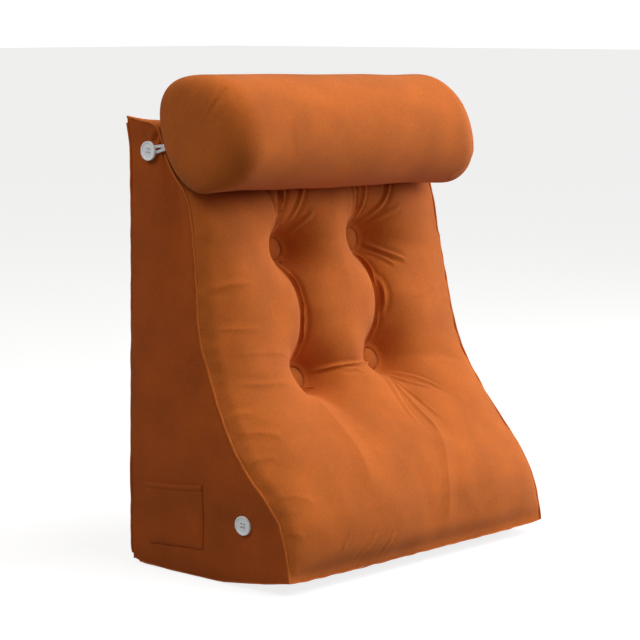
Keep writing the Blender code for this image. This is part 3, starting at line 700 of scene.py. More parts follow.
# Filling the cover: the front panel is held along its seams, under the bolster, at the buttons and
# along the two creases between them, and swells under pressure everywhere else
FILL_FRAMES = 30
FILL_PRESSURE = 14.0
FILL_SLACK = 0.005
FILL_MOST = 0.024
FILL_SMOOTHING = 5
HELD_ROUND_TUFT = 0.002
HELD_TOP = 0.100


def fill_front(grids):
    """Fills the front panel by a cloth simulation under pressure, smooths it and limits its swell."""
    start = np.concatenate([grids["top"][0], grids["front"][0][1:]])
    places = np.concatenate([grids["top"][1], grids["front"][1][1:]])
    across, down = places[..., 0], -places[..., 1]
    rows, columns = across.shape
    faces = []
    for i in range(rows - 1):
        for j in range(columns - 1):
            corner = i * columns + j
            faces.append((corner, corner + columns, corner + columns + 1, corner + 1))
    panel = make_mesh("front_filling", start.reshape(-1, 3), faces)
    held = np.zeros(across.shape)
    held[[0, -1]] = 1
    held[:, [0, -1]] = 1
    held[down < HELD_TOP] = 1
    for tuft_x, tuft_down in TUFTS.values():
        held[np.hypot(across - tuft_x, down - tuft_down) < TUFT_SEAT + HELD_ROUND_TUFT] = 1
    middle = columns // 2
    for column, side in ((middle - MIDDLE_COLUMNS, "left"), (middle + MIDDLE_COLUMNS, "right")):
        upper, lower = TUFTS[f"upper_{side}"][1], TUFTS[f"lower_{side}"][1]
        held[(down[:, column] > upper) & (down[:, column] < lower), column] = 1
    group = panel.vertex_groups.new(name="held")
    group.add(np.nonzero(held.ravel())[0].tolist(), 1.0, "REPLACE")
    cloth = panel.modifiers.new("filling", "CLOTH")
    settings = cloth.settings
    settings.quality = 8
    settings.mass = 0.25
    settings.tension_stiffness = 25
    settings.compression_stiffness = 25
    settings.shear_stiffness = 12
    settings.bending_stiffness = 3.0
    settings.vertex_group_mass = "held"
    settings.shrink_min = -FILL_SLACK
    settings.use_pressure = True
    settings.uniform_pressure_force = FILL_PRESSURE
    settings.effector_weights.gravity = 0
    cloth.collision_settings.use_collision = False
    cloth.point_cache.frame_end = FILL_FRAMES
    for step in range(1, FILL_FRAMES + 1):
        bpy.context.scene.frame_set(step)
    apply_all(panel)
    bpy.context.scene.frame_set(1)
    move = read_points(panel).reshape(start.shape) - start
    size = np.linalg.norm(move, axis=-1, keepdims=True)
    move *= FILL_MOST * np.tanh(size / FILL_MOST) / np.maximum(size, 1e-9)
    for _ in range(FILL_SMOOTHING):
        for axis in (0, 1):
            ahead, behind = np.roll(move, 1, axis), np.roll(move, -1, axis)
            move = np.where(held[..., None] == 1, 0, 0.5 * move + 0.25 * (ahead + behind))
    filled = push_clear_of_bolster(start + move)
    filled[held == 1] = start[held == 1]
    grids["top"][0][:] = filled[:TOP_STEPS + 1]
    grids["front"][0][:] = filled[TOP_STEPS:]
    bpy.data.objects.remove(panel, do_unlink=True)


# The back's sewn corners, top and bottom, on the right: place, how far each is drawn out, and reach
CORNERS = (
    ((0.245, 0.140, 0.568), (0.0004, 0.0006, 0.0008), 0.010),
    ((0.245, 0.140, 0.0045), (-0.0016, -0.0016, 0.0014), 0.012),
)
DRAWN_IN = 0.0045


def pull_corners(points):
    """Draws the sewn back corners out or in, and the back edges between them a little in."""
    x, y, z = (points[..., axis] for axis in range(3))
    rise = np.clip((z - 0.12) / 0.25, 0, 1) * np.clip((0.560 - z) / 0.025, 0, 1)
    near_edge = np.exp(-((BACK_Y - y) / 0.06) ** 2) * np.clip(np.abs(x) / 0.24, 0, 1) ** 8
    x -= np.sign(x) * DRAWN_IN * rise * near_edge
    for corner, pull, reach in CORNERS:
        for side in (-1, 1):
            mirror = np.array((side, 1, 1))
            off = np.linalg.norm(points - corner * mirror, axis=-1)
            points += np.exp(-(off / reach) ** 2)[..., None] * pull * mirror


grids = panel_grids()
fill_front(grids)
for points, _ in grids.values():
    pull_corners(points)
wedge = stitch_panels("wedge_cover", grids)
finer = wedge.modifiers.new("finer", "SUBSURF")
finer.levels = 2
finer.render_levels = 2
apply_all(wedge)

# Sharp pleats and creases that run out from the buttons, pressed into the cloth after it is filled,
# in millimetres: the places along each, its depth and width, and the height of the lip beside it
FOLDS = (
    (((-70, 100), (-75, 138), (-83, 160), (-88, 180), (-78, 203)), 4.8, 2.7, 2.2),
    (((-112, 110), (-106, 150), (-90, 190)), 1.8, 2, 1),
    (((-26, 118), (-48, 156), (-66, 192)), 2, 2.2, 1.2),
    (((-30, 176), (-60, 204)), 1.6, 2.4, 1),
    (((60, 118), (58, 165), (66, 198)), 1.2, 2, 0.8),
    (((76, 112), (69, 165), (71, 198)), 2.2, 1.8, 1.2),
    (((88, 115), (81, 165), (77, 198)), 1.7, 1.8, 1),
    (((140, 128), (120, 168), (98, 188), (84, 200)), 3, 2.4, 1.8),
    (((150, 181), (116, 191), (90, 204)), 2, 2.4, 1.2),
    (((92, 222), (108, 238), (142, 257)), 2.4, 2.4, 1.3),
    (((90, 234), (118, 260)), 1.6, 2.2, 1),
    (((-72, 234), (-72, 287), (-70, 325), (-75, 370)), 7, 2.2, 2.4),
    (((77, 230), (81, 256), (82, 300), (81, 335), (77, 362)), 8, 2.2, 2.6),
    (((84, 262), (90, 285), (91, 305), (86, 332)), 2.4, 2.2, 1.6),
    (((-225, 352), (-150, 358), (-93, 370)), 1.2, 6, 0.3),
    (((-59, 381), (-20, 384), (20, 388), (58, 381)), 3.8, 2, 0.8),
    (((-24, 390), (6, 396)), 2, 2, 1),
    (((87, 394), (100, 410), (112, 420), (142, 452)), 1.5, 2, 0.6),
    (((84, 398), (91, 420), (123, 444)), 1.4, 1.8, 0.8),
    (((80, 398), (76, 430), (88, 470)), 1.2, 1.8, 0.8),
    (((79, 400), (81, 448), (100, 502)), 1.4, 2.4, 0.5),
    (((72, 396), (61, 430), (63, 473), (75, 530)), 1.3, 2.4, 0.5),
    (((64, 396), (50, 425), (42, 459), (42, 501)), 1.2, 2.6, 0.6),
    (((74, 390), (58, 438), (68, 483), (66, 528), (48, 574), (34, 640)), 1.7, 7.5, 0.6),
    (((-75, 400), (-92, 441), (-94, 480), (-94, 525), (-108, 580)), 1.7, 8, 0.6),
    (((-101, 614), (-118, 628), (-136, 640)), 1.6, 2.2, 0.6),
    (((-68, 618), (-87, 640)), 1.2, 2, 0.5),
    (((-148, 604), (-166, 626)), 0.9, 2.2, 0.3),
    (((-243, 264), (-213, 259), (-180, 262)), 0.9, 3.4, 0.3),
    (((-240, 313), (-196, 319), (-170, 322)), 0.8, 4.2, 0.2),
    (((-231, 388), (-185, 400), (-130, 402)), 0.9, 3.6, 0.3),
    (((-243, 428), (-217, 434)), 0.8, 3.6, 0.3),
    (((-244, 452), (-213, 466), (-190, 480)), 1.1, 4, 0.3),
    (((-244, 493), (-212, 502)), 1, 4.2, 0.3),
    (((-244, 548), (-218, 556), (-196, 570)), 0.8, 4, 0.2),
    (((-244, 590), (-222, 600)), 0.8, 3.6, 0.2),
    (((130, 306), (207, 294)), 0.8, 3.6, 0.2),
    (((160, 402), (210, 412)), 0.7, 4, 0.2),
)
EASE = 0.24
FLAT_BELOW = 0.003
SIDE_FACING = 0.75
# The pucker at the elastic and a soft hollow along the front seam, on both side panels: each place
# is the depth from the back edge and the height
SIDE_FOLDS = (
    (((50, 556), (48, 547), (42, 536)), 3, 3, 1.6),
    (((60, 545), (52, 534), (47, 520)), 1.6, 2.8, 1),
    (((70, 520), (80, 470), (94, 400)), 2.2, 7.5, 0.6),
)
# Soft unevenness of the filling, and the gathers along the front's seams: size, seed and height
UNEVEN = (0.085, 11, 0.0014)
UNEVEN_FRONT = (0.040, 13, 0.0010)
GATHERS = (0.022, 12, 0.0012)
GATHERS_REACH = 0.016
GATHERS_SQUEEZE = (1, 1, 1.6)


def fold_press(fold, u, v):
    """How far a fold and its lip move the cloth out, and how near a place is to the fold's ends."""
    places, depth, width, lip = fold
    depth, width, lip = depth / MM, width / MM, lip / MM
    line = [tuple(p) for p in smooth_rows(in_metres(places), steps=5)]
    off, _, share = distance_to_line(u, v, line)
    press = lip * np.exp(-((off - 2.4 * width) / (1.4 * width)) ** 2) - depth * np.exp(-(off / width) ** 1.2)
    return press, np.clip(np.minimum(share, 1 - share) / EASE, 0, 1)


def press_folds(item):
    """Presses the folds and the tufts' creases into the cover along its normals."""
    points, normals = read_points(item), read_points(item, "normal")
    across, down, on_front = read_marks(item)
    move = np.zeros(len(points))
    for fold in FOLDS:
        press, fade = fold_press(fold, across, down)
        move += press * fade * fade * (3 - 2 * fade)
    for tuft_x, tuft_down in TUFTS.values():
        off = np.hypot(across - tuft_x, down - tuft_down)
        move -= TUFT_CREASE * np.exp(-((off - TUFT_CREASE_AT) / TUFT_CREASE_WIDTH) ** 2)
    move *= on_front ** 8
    on_side = (np.abs(normals[:, 0]) > SIDE_FACING) & (on_front == 0)
    for fold in SIDE_FOLDS:
        press, fade = fold_press(fold, BACK_Y - points[:, 1], points[:, 2])
        move += press * fade * on_side
    near_seam = np.exp(-np.clip(BACK_HALF_WIDTH - np.abs(across), 0, 1) / GATHERS_REACH)
    for (size, seed, height), where in ((UNEVEN, 1), (UNEVEN_FRONT, on_front)):
        move += wander(points, size, seed) * height * where
    size, seed, height = GATHERS
    move += wander(points * GATHERS_SQUEEZE, size, seed) * height * near_seam * on_front
    move[points[:, 2] < FLAT_BELOW] = 0
    points += normals * move[:, None]
    item.data.vertices.foreach_set("co", points.ravel())
    item.data.update()


press_folds(wedge)
turn_outwards(wedge)
smooth(wedge)
# The side panels are the same cloth, given a darker, more saturated copy of its colour as painted shade
SIDE_PAINTED_SHADE_COLOUR = (0.420, 0.080, 0.0062)
side_cloth_painted_shade = make_cloth("side_cloth_painted_shade", SIDE_PAINTED_SHADE_COLOUR)
wedge.data.materials.append(cover_cloth)
wedge.data.materials.append(side_cloth_painted_shade)
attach(wedge, "root")
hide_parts("wedge_cushion")

# The sewn seams
# Where two panels meet, their edges are turned in and stitched, and a narrow ridge of doubled cloth
# stands up along the line: down both sides of the front, and round the back panel and the base.
SEAM_RIDGE_RADIUS = 0.0015
BASE_RIDGE_RADIUS = 0.0008
SEAM_RIDGE_SIDES = 8
SEAM_WANDER = 0.0009
SEAM_WANDER_OVER = 0.018


def add_tube(name, line, radius, sides):
    """A round cord of cloth or thread along a line of points, its ends closed."""
    line = [Vector(p) for p in line]
    verts, faces = [], []
    for i, point in enumerate(line):
        tangent = (line[min(i + 1, len(line) - 1)] - line[max(i - 1, 0)]).normalized()
        guide = Vector((1, 0, 0)) if abs(tangent.x) < 0.8 else Vector((0, 0, 1))
        first = tangent.cross(guide).normalized()
        second = tangent.cross(first)
        for step in range(sides):
            turn = 2 * math.pi * step / sides
            verts.append(point + radius * (math.cos(turn) * first + math.sin(turn) * second))
            if i:
                a, b = i * sides + step, i * sides + (step + 1) % sides
                faces.append((a - sides, b - sides, b, a))
    last = len(verts) - sides
    faces += [tuple(range(sides)), tuple(range(len(verts) - 1, last - 1, -1))]
    item = make_mesh(name, verts, faces)
    turn_outwards(item, merge=0)
    return item


# The seam ridges and the twine ends take the cover's colour made lighter, as a painted highlight
seam_cloth_painted_highlight = make_cloth("seam_cloth_painted_highlight", COVER_COLOUR, shade=1.15, place="Object")
# The tufting buttons' cloth is the cover's colour made darker, as painted shade
button_cloth_painted_shade = make_cloth("button_cloth_painted_shade", COVER_COLOUR, shade=0.86, place="Object")
seam_lines = {}
for name, edge in (("left", 0), ("right", -1)):
    top, front, back, base = (grids[p][0][:, edge] for p in ("top", "front", "back", "base"))
    seam_lines[f"front_{name}"] = np.concatenate([top[1:], front[1:]])
    seam_lines[f"back_{name}"] = back[1:-1]
    seam_lines[f"base_{name}"] = base[1:-1]
seam_lines["back_top"] = grids["top"][0][0]
seam_lines["base_back"] = grids["base"][0][0]
seam_lines["base_front"] = grids["base"][0][-1]
for name, line in seam_lines.items():
    astray = np.stack([wander(line, SEAM_WANDER_OVER, seed) for seed in (21, 22, 23)], axis=-1)
    line = line + astray * SEAM_WANDER
    line[:, 2] = np.maximum(line[:, 2], SEAM_RIDGE_RADIUS)
    radius = BASE_RIDGE_RADIUS if "base" in name else SEAM_RIDGE_RADIUS
    ridge = add_tube(f"seam_{name}", line, radius, SEAM_RIDGE_SIDES)
    smooth(ridge, 80)
    ridge.data.materials.append(seam_cloth_painted_highlight)
    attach(ridge, "root")

# The tufting buttons
# Four domed buttons covered in the same cloth. Twine through the filling pulls each one down until
# the front panel closes round it, and its two cut ends stick out below the left pair.
TUFT_BUTTON_RADIUS = 0.0155
TUFT_BUTTON_HEIGHT = 0.0088
TUFT_BUTTON_EDGE = 0.0022
for name, (tuft_x, tuft_down) in TUFTS.items():
    middle, normal, _ = seam_frame(np.array(tuft_down))
    centre = Vector(middle + normal * (0.0003 - TUFT_SUNK))
    centre.x = tuft_x
    bpy.ops.object.select_all(action="DESELECT")
    bpy.ops.mesh.primitive_uv_sphere_add(segments=64, ring_count=32, radius=TUFT_BUTTON_RADIUS)
    button = bpy.context.active_object
    button.name = f"covered_button_{name}"
    for vert in button.data.vertices:
        share = vert.co.z / TUFT_BUTTON_RADIUS
        if share >= 0:
            vert.co.z = TUFT_BUTTON_EDGE + (TUFT_BUTTON_HEIGHT - TUFT_BUTTON_EDGE) * share ** 0.9
        else:
            vert.co.z = TUFT_BUTTON_EDGE * (1 + share)
    place = Matrix.Translation(centre) @ Vector(normal).to_track_quat("Z", "Y").to_matrix().to_4x4()
    button.data.transform(place)
    smooth(button, 80)
    button.data.materials.append(button_cloth_painted_shade)
    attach(button, "root")
    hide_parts(f"tuft_button_{name}")

# The two cut ends of the twine below the left pair of buttons, each a few millimetres long, by how
# far beside and below the button's middle they run
TWINE_TAILS = {
    "upper_left": (
        ((0.0060, 0.0165), (0.0085, 0.0195), (0.0075, 0.0225)),
        ((0.0080, 0.0150), (0.0120, 0.0175), (0.0150, 0.0178)),
    ),
    "lower_left": (
        ((0.0050, 0.0168), (0.0070, 0.0200), (0.0105, 0.0215)),
        ((0.0075, 0.0152), (0.0120, 0.0165), (0.0165, 0.0200)),
    ),
}
TWINE_RADIUS = 0.0005
wedge_tree = BVHTree.FromPolygons(
    [v.co.copy() for v in wedge.data.vertices], [tuple(p.vertices) for p in wedge.data.polygons]
)
for name, tails in TWINE_TAILS.items():
    tuft_x, tuft_down = TUFTS[name]
    middle, normal, _ = seam_frame(np.array(tuft_down))
    outward = Vector(normal)
    downward = Vector((0, -outward.z, outward.y))
    for number, tail in enumerate(tails):
        line = []
        for beside, below in tail:
            start = Vector((tuft_x + beside, middle[1], middle[2])) + downward * below + outward * 0.06
            hit = wedge_tree.ray_cast(start, -outward)[0]
            line.append(hit + outward * (TWINE_RADIUS + 0.0004))
        twine = add_tube(f"twine_{name}_{number}", smooth_rows(line, steps=6), TWINE_RADIUS, 8)
        smooth(twine, 80)
        twine.data.materials.append(seam_cloth_painted_highlight)
        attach(twine, "root")

# The white buttons
# Moulded four-hole buttons, dished inside a raised rim, two on each side panel and sewn on with
# crossed white thread. The upper ones stand on a wound shank, so that the elastic passes below.
CLEARANCE = 0.0003
BUTTON_RADIUS = 0.012
BUTTON_THICKNESS = 0.003
BUTTON_RIM = 0.0017
BUTTON_DISH = 0.0010
BUTTON_SLOPE = 0.0010
BUTTON_FLOOR = 0.0045
BUTTON_SWELL = 0.0002
BUTTON_UNDER = 0.0014
BUTTON_SOFT_EDGE = 0.00028
BUTTON_LOW = {"upper": 0.0023, "lower": 0.0005}
BUTTON_HOLE_RADIUS = 0.0016
BUTTON_HOLE_SPREAD = 0.0031
SHANK_RADIUS = 0.0013
THREAD_RADIUS = 0.00024
THREAD_SIDES = 6
PANEL_REACH = 0.008
UPPER_BUTTON = (0.036, 0.5276)
LOWER_BUTTON = (0.2055, 0.0786)


def surface_x(side, depth, height):
    """Where a side panel lies, at this depth and height, on the side of this sign."""
    origin = Vector((side, BACK_Y - depth, height))
    return wedge_tree.ray_cast(origin, Vector((-side, 0, 0)))[0].x


def panel_place(side, depth, height):
    """Frame that lies flat on a side panel: X runs to the front, Z points out of the cushion."""
    x = surface_x(side, depth, height)
    along = Vector((surface_x(side, depth + PANEL_REACH, height) - x, -PANEL_REACH, 0)).normalized()
    up = Vector((surface_x(side, depth, height + PANEL_REACH) - x, 0, PANEL_REACH))
    outward = along.cross(up).normalized()
    if outward.x * side < 0:
        outward.negate()
    turn = Matrix((along, outward.cross(along), outward)).transposed().to_4x4()
    return Matrix.Translation((x, BACK_Y - depth, height)) @ turn


def make_plastic_with_painted_glow(name, colour, roughness):
    """Smooth moulded plastic, its gloss broken very slightly by a fine moulding grain. A faint bluish-white
    glow is painted light that brightens it in shade.
    """
    material, tree, shader = new_material(
        name, Base_Color=(*colour, 1.0), Specular_IOR_Level=0.5, Emission_Color=(0.9, 0.95, 1.0, 1.0),
        Emission_Strength=0.05,
    )
    where = tree.nodes.new("ShaderNodeTexCoord").outputs["Object"]
    grain = add_node(tree, "TexNoise", {"Scale": 500, "Vector": where})
    spread = {"Value": grain.outputs["Fac"], "To Min": roughness - 0.06, "To Max": roughness + 0.06}
    gloss = add_node(tree, "MapRange", spread)
    tree.links.new(gloss.outputs["Result"], shader.inputs["Roughness"])
    return material


def select_faces(item, wanted):
    """Selects just the faces of the object in edit mode whose middle passes the test."""
    bpy.ops.mesh.select_mode(type="FACE")
    bpy.ops.mesh.select_all(action="DESELECT")
    work = bmesh.from_edit_mesh(item.data)
    for face in work.faces:
        face.select = wanted(face.calc_center_median(), face.normal)
    bmesh.update_edit_mesh(item.data)


def make_white_button(name, low):
    """A button on the plane Z = 0, its underside this high, dished and drilled, at the origin."""
    high = low + BUTTON_THICKNESS
    bpy.ops.object.select_all(action="DESELECT")
    middle = (0, 0, (low + high) / 2)
    bpy.ops.mesh.primitive_cylinder_add(vertices=96, radius=BUTTON_RADIUS, depth=high - low, location=middle)
    button = bpy.context.active_object
    button.name = name
    bpy.ops.object.transform_apply(location=True, rotation=False, scale=False)
    bpy.ops.object.mode_set(mode="EDIT")
    select_faces(button, lambda centre, normal: normal.z > 0.9)
    bpy.ops.mesh.inset(thickness=BUTTON_RIM, depth=0)
    bpy.ops.mesh.inset(thickness=BUTTON_SLOPE, depth=-BUTTON_DISH)
    bpy.ops.mesh.inset(thickness=BUTTON_FLOOR, depth=BUTTON_SWELL)
    select_faces(button, lambda centre, normal: normal.z < -0.9)
    bpy.ops.mesh.inset(thickness=BUTTON_UNDER, depth=BUTTON_SWELL)
    bpy.ops.object.mode_set(mode="OBJECT")
    drills = []
    for turn in (45, 135, 225, 315):
        angle = math.radians(turn)
        spot = (BUTTON_HOLE_SPREAD * math.cos(angle), BUTTON_HOLE_SPREAD * math.sin(angle), middle[2])
        bpy.ops.mesh.primitive_cylinder_add(vertices=24, radius=BUTTON_HOLE_RADIUS, depth=0.01, location=spot)
        drills.append(bpy.context.active_object)
    for drill in drills:
        cut = button.modifiers.new("drill", "BOOLEAN")
        cut.operation = "DIFFERENCE"
        cut.solver = "EXACT"
        cut.object = drill
    edges = button.modifiers.new("soft_edges", "BEVEL")
    edges.width = BUTTON_SOFT_EDGE
    edges.segments = 3
    edges.limit_method = "ANGLE"
    edges.angle_limit = math.radians(25)
    apply_all(button)
    for drill in drills:
        bpy.data.objects.remove(drill, do_unlink=True)
    return button


def add_thread(name, lines, radius, material):
    """Lengths of thread along lines of points, as one piece."""
    pieces = [add_tube(f"{name}_{i}", line, radius, THREAD_SIDES) for i, line in enumerate(lines)]
    select_only(*pieces)
    bpy.ops.object.join()
    thread = pieces[0]
    thread.name = name
    smooth(thread, 80)
    thread.data.materials.append(material)
    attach(thread, "root")
    return thread


# The white buttons and their thread glow faintly, as painted light
white_plastic = make_plastic_with_painted_glow("white_plastic", (0.90, 0.93, 0.96), 0.36)
white_thread = make_plastic_with_painted_glow("white_thread", (0.80, 0.80, 0.78), 0.80)
for side, side_name in ((-1, "left"), (1, "right")):
    for level, (depth, height) in (("upper", UPPER_BUTTON), ("lower", LOWER_BUTTON)):
        place = panel_place(side, depth, height)
        low = BUTTON_LOW[level]
        button = make_white_button(f"sewn_button_{level}_{side_name}", low)
        button.data.transform(place)
        smooth(button, 35)
        button.data.materials.append(white_plastic)
        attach(button, "root")
        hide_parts(f"side_button_{level}_{side_name}")
        face = low + BUTTON_THICKNESS - BUTTON_DISH
        lines = []
        for turn, lift in ((45, 0.0003), (135, 0.0008)):
            along = Vector((math.cos(math.radians(turn)), math.sin(math.radians(turn)), 0))
            beside = Vector((-along.y, along.x, 0))
            for shift in (-0.7, 0.7):
                line = []
                for step in range(13):
                    share = step / 6 - 1
                    rise = face + lift + THREAD_RADIUS - 0.0016 * abs(share) ** 5
                    reach = BUTTON_HOLE_SPREAD * 0.72 * share
                    point = along * reach + beside * shift * THREAD_RADIUS * 1.5 * (1 - 0.3 * abs(share))
                    line.append(place @ Vector((point.x, point.y, rise)))
                line.append(place @ Vector((along.x * reach, along.y * reach, low + 0.0008)))
                line.insert(0, place @ Vector((-along.x * reach, -along.y * reach, low + 0.0008)))
                lines.append(line)
        if level == "upper":
            turns, around = 5, 20
            line = []
            for step in range(turns * around + 1):
                angle = 2 * math.pi * step / around
                rise = -0.0003 + (low + 0.0004) * step / (turns * around)
                x, y = SHANK_RADIUS * math.cos(angle), SHANK_RADIUS * math.sin(angle)
                line.append(place @ Vector((x, y, rise)))
            lines.append(line)
            lines.append([place @ Vector((0, 0, -0.0005)), place @ Vector((0, 0, low + 0.0002))])
        stitching = add_thread(f"button_thread_{level}_{side_name}", lines, THREAD_RADIUS, white_thread)

# The elastic loops
# Narrow knitted elastic from each end of the bolster. Each is slit along its middle, and the slit
# is stretched over the upper button, so that two strands pass either side of the thread shank.
LOOP_THICKNESS = 0.0014
LOOP_HALF_WIDTH = 0.0042
LOOP_SIDES = 12
LOOP_STEPS = 56
RIB_PITCH = 0.0011
KNIT_PITCH = 0.0008
LOOP_RISE = math.radians(11)
LOOP_TURN_IN = {"left": 0.0, "right": 1.0}
LOOP_PAST_SEAM = 0.034
LOOP_END_GAP = 0.0005
LOOP_INTO_END = 0.0015
LOOP_LENGTHS = (0.020, 0.080)
LOOP_BACK = -0.0075
SLIT_BACK = -0.0035
SLIT_FRONT = 0.0225
SLIT_HALF_WIDTH = 0.0017


def bolster_gap(point):
    """How far a point is from the bolster's cloth, measured from the bolster's axis."""
    inside = to_bolster(np.array([point]))
    across = inside[:, 0] - bolster_lean(inside[:, 0], inside[:, 2])
    radius = bolster_radius(across, np.arctan2(inside[:, 2], inside[:, 1]))
    return float((np.hypot(inside[:, 1], inside[:, 2]) - radius)[0])


def loop_point(place, side_name, along, across, layer):
    """A point of the elastic. Past the cushion's seam it turns in to the bolster's end."""
    turn_in = LOOP_TURN_IN[side_name] * max(along - LOOP_PAST_SEAM, 0.0)
    return place @ Vector((along, across, layer - turn_in))


def loop_outline(length):
    """Middle line and half width of the elastic's two strands, from the back end to the front."""
    rows = []
    for step in range(LOOP_STEPS + 1):
        along = LOOP_BACK + (length - LOOP_BACK) * step / LOOP_STEPS
        round_end = min(1.0, (along - LOOP_BACK) / 0.004)
        outer = LOOP_HALF_WIDTH * (0.35 + 0.65 * math.sin(0.5 * math.pi * round_end) ** 0.6)
        share = (along - SLIT_BACK) / (SLIT_FRONT - SLIT_BACK)
        open_here = max(0.0, math.sin(math.pi * share ** 0.75)) if 0 < share < 1 else 0.0
        inner = SLIT_HALF_WIDTH * open_here ** 0.7
        rows.append((along, outer + 0.7 * inner, inner))
    return rows


def make_elastic(name):
    """White knitted elastic: fine ribs along it and loops across it, as bump. It glows faintly like the
    plastic, as painted light.
    """
    material = make_plastic_with_painted_glow(name, (0.82, 0.83, 0.85), 0.85)
    tree = material.node_tree
    where = tree.nodes.new("ShaderNodeTexCoord").outputs["UV"]
    parts = add_node(tree, "SeparateXYZ", {0: where})
    waves = []
    for axis, pitch in (("X", RIB_PITCH), ("Y", KNIT_PITCH)):
        turns = {0: parts.outputs[axis], 1: 2 * math.pi / pitch}
        cycles = add_node(tree, "Math", turns, operation="MULTIPLY")
        waves.append(add_node(tree, "Math", {0: cycles.outputs[0]}, operation="SINE").outputs[0])
    knit = add_node(tree, "Math", {0: waves[0], 1: 0.5, 2: waves[1]}, operation="MULTIPLY_ADD")
    bumps = {"Strength": 0.6, "Distance": 0.0003, "Height": knit.outputs[0]}
    relief = add_node(tree, "Bump", bumps)
    tree.links.new(relief.outputs["Normal"], tree.nodes["Principled BSDF"].inputs["Normal"])
    return material


def make_elastic_loop(side_name, place, length):
    """The band as one closed skin: each strand has a flat rounded section, joined past the slit."""
    rows = loop_outline(length)
    verts, faces, uvs, rings = [], [], [], []
    for along, outer, inner in rows:
        pair = []
        for strand in (1, -1):
            middle, half = strand * (outer + inner) / 2, (outer - inner) / 2
            ring = []
            for step in range(LOOP_SIDES):
                angle = 2 * math.pi * step / LOOP_SIDES
                wide, tall = (math.copysign(abs(t) ** 0.5, t) for t in (math.cos(angle), math.sin(angle)))
                across = middle + half * wide
                layer = CLEARANCE + LOOP_THICKNESS * (0.5 + 0.5 * tall)
                ring.append(len(verts))
                verts.append(loop_point(place, side_name, along, across, layer))
                uvs.append((across, along))
            pair.append(ring)
        rings.append(pair)
    for a, b in zip(rings, rings[1:]):
        for strand in (0, 1):
            for j in range(LOOP_SIDES):
                k = (j + 1) % LOOP_SIDES
                faces.append((a[strand][j], a[strand][k], b[strand][k], b[strand][j]))
    for strand in (0, 1):
        faces.append(tuple(rings[0][strand]))
        faces.append(tuple(rings[-1][strand][::-1]))
    item = make_mesh(f"elastic_band_{side_name}", verts, faces, [[uvs[i] for i in f] for f in faces])
    turn_outwards(item)
    smooth(item, 60)
    return item


elastic = make_elastic("knitted_elastic")
for side, side_name in ((-1, "left"), (1, "right")):
    place = panel_place(side, *UPPER_BUTTON)
    upward = 1 if place.col[1].z > 0 else -1
    place = place @ Matrix.Rotation(upward * LOOP_RISE, 4, "Z")
    length, longest = LOOP_LENGTHS
    while length < longest:
        edges = (-LOOP_HALF_WIDTH, LOOP_HALF_WIDTH)
        layers = (CLEARANCE, CLEARANCE + LOOP_THICKNESS)
        ends = [loop_point(place, side_name, length, edge, layer) for edge in edges for layer in layers]
        if min(bolster_gap(end) for end in ends) < LOOP_END_GAP:
            break
        length += 0.0001
    loop = make_elastic_loop(side_name, place, length + LOOP_INTO_END)
    loop.data.materials.append(elastic)
    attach(loop, "root")
    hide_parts(f"elastic_loop_{side_name}")

# The side pocket
# A patch of the cover's cloth on the left side panel, its top edge hemmed and open, its other
# three edges turned in and sewn down. It is empty and lies flat.
POCKET_TOP_BACK = Vector((0.030, 0.110))
POCKET_TOP_FRONT = Vector((0.137, 0.1205))
POCKET_BOTTOM_BACK = Vector((0.036, 0.031))
POCKET_BOTTOM_FRONT = Vector((0.134, 0.037))
POCKET_THICKNESS = 0.0014
POCKET_HEM_SHARE = 0.10
POCKET_HEM_RAISED = 0.0006
POCKET_HEM_GROOVE = 0.0005
POCKET_EDGE_ROUND = 0.035
POCKET_COLUMNS = 72
POCKET_ROWS = 60
STITCH_PITCH = 0.0042
STITCH_RADIUS = 0.00025
STITCH_RAISED = 0.0002


def pocket_place(across, down):
    """Depth and height on the side panel of a place on the pocket."""
    bow = 0.0016 * math.sin(math.pi * across)
    top = POCKET_TOP_BACK.lerp(POCKET_TOP_FRONT, across) - Vector((0, bow))
    bottom = POCKET_BOTTOM_BACK.lerp(POCKET_BOTTOM_FRONT, across) + Vector((0, 0.5 * bow))
    return top.lerp(bottom, down)


def pocket_lift(across, down):
    """How far the pocket's cloth stands off the side panel, its sewn edges pulled down."""
    edge = min(across, 1 - across, 1 - down)
    sewn = 1 - math.exp(-edge / POCKET_EDGE_ROUND)
    lift = POCKET_THICKNESS * (0.62 + 0.38 * sewn) + 0.0006 * sewn
    hem = 1 / (1 + math.exp((down - POCKET_HEM_SHARE) / 0.010))
    if hem > 0.2:
        into_hem = min(1, (POCKET_HEM_SHARE * 1.15 - down) / 0.095 + 0.02)
        lift += POCKET_HEM_RAISED * hem * math.sin(math.pi * into_hem) ** 0.4
    lift -= POCKET_HEM_GROOVE * math.exp(-((down - POCKET_HEM_SHARE) / 0.018) ** 2)
    return lift


outer_verts, inner_verts, uv_at = [], [], []
for i in range(POCKET_ROWS + 1):
    for j in range(POCKET_COLUMNS + 1):
        across, down = j / POCKET_COLUMNS, i / POCKET_ROWS
        depth, height = pocket_place(across, down)
        x = surface_x(-1, depth, height)
        outer_verts.append((x - pocket_lift(across, down), BACK_Y - depth, height))
        inner_verts.append((x - CLEARANCE, BACK_Y - depth, height))
        uv_at.append((depth, height))
total = len(outer_verts)
faces = []
for i in range(POCKET_ROWS):
    for j in range(POCKET_COLUMNS):
        a = i * (POCKET_COLUMNS + 1) + j
        quad = (a, a + 1, a + POCKET_COLUMNS + 2, a + POCKET_COLUMNS + 1)
        faces += [quad, tuple(total + k for k in quad[::-1])]
ids = np.arange(total).reshape(POCKET_ROWS + 1, POCKET_COLUMNS + 1)
rim = np.concatenate([ids[0], ids[1:, -1], ids[-1, -2::-1], ids[-2:0:-1, 0]]).tolist()
for a, b in zip(rim, rim[1:] + rim[:1]):
    faces.append((a, b, total + b, total + a))
uvs = [[uv_at[k % total] for k in face] for face in faces]
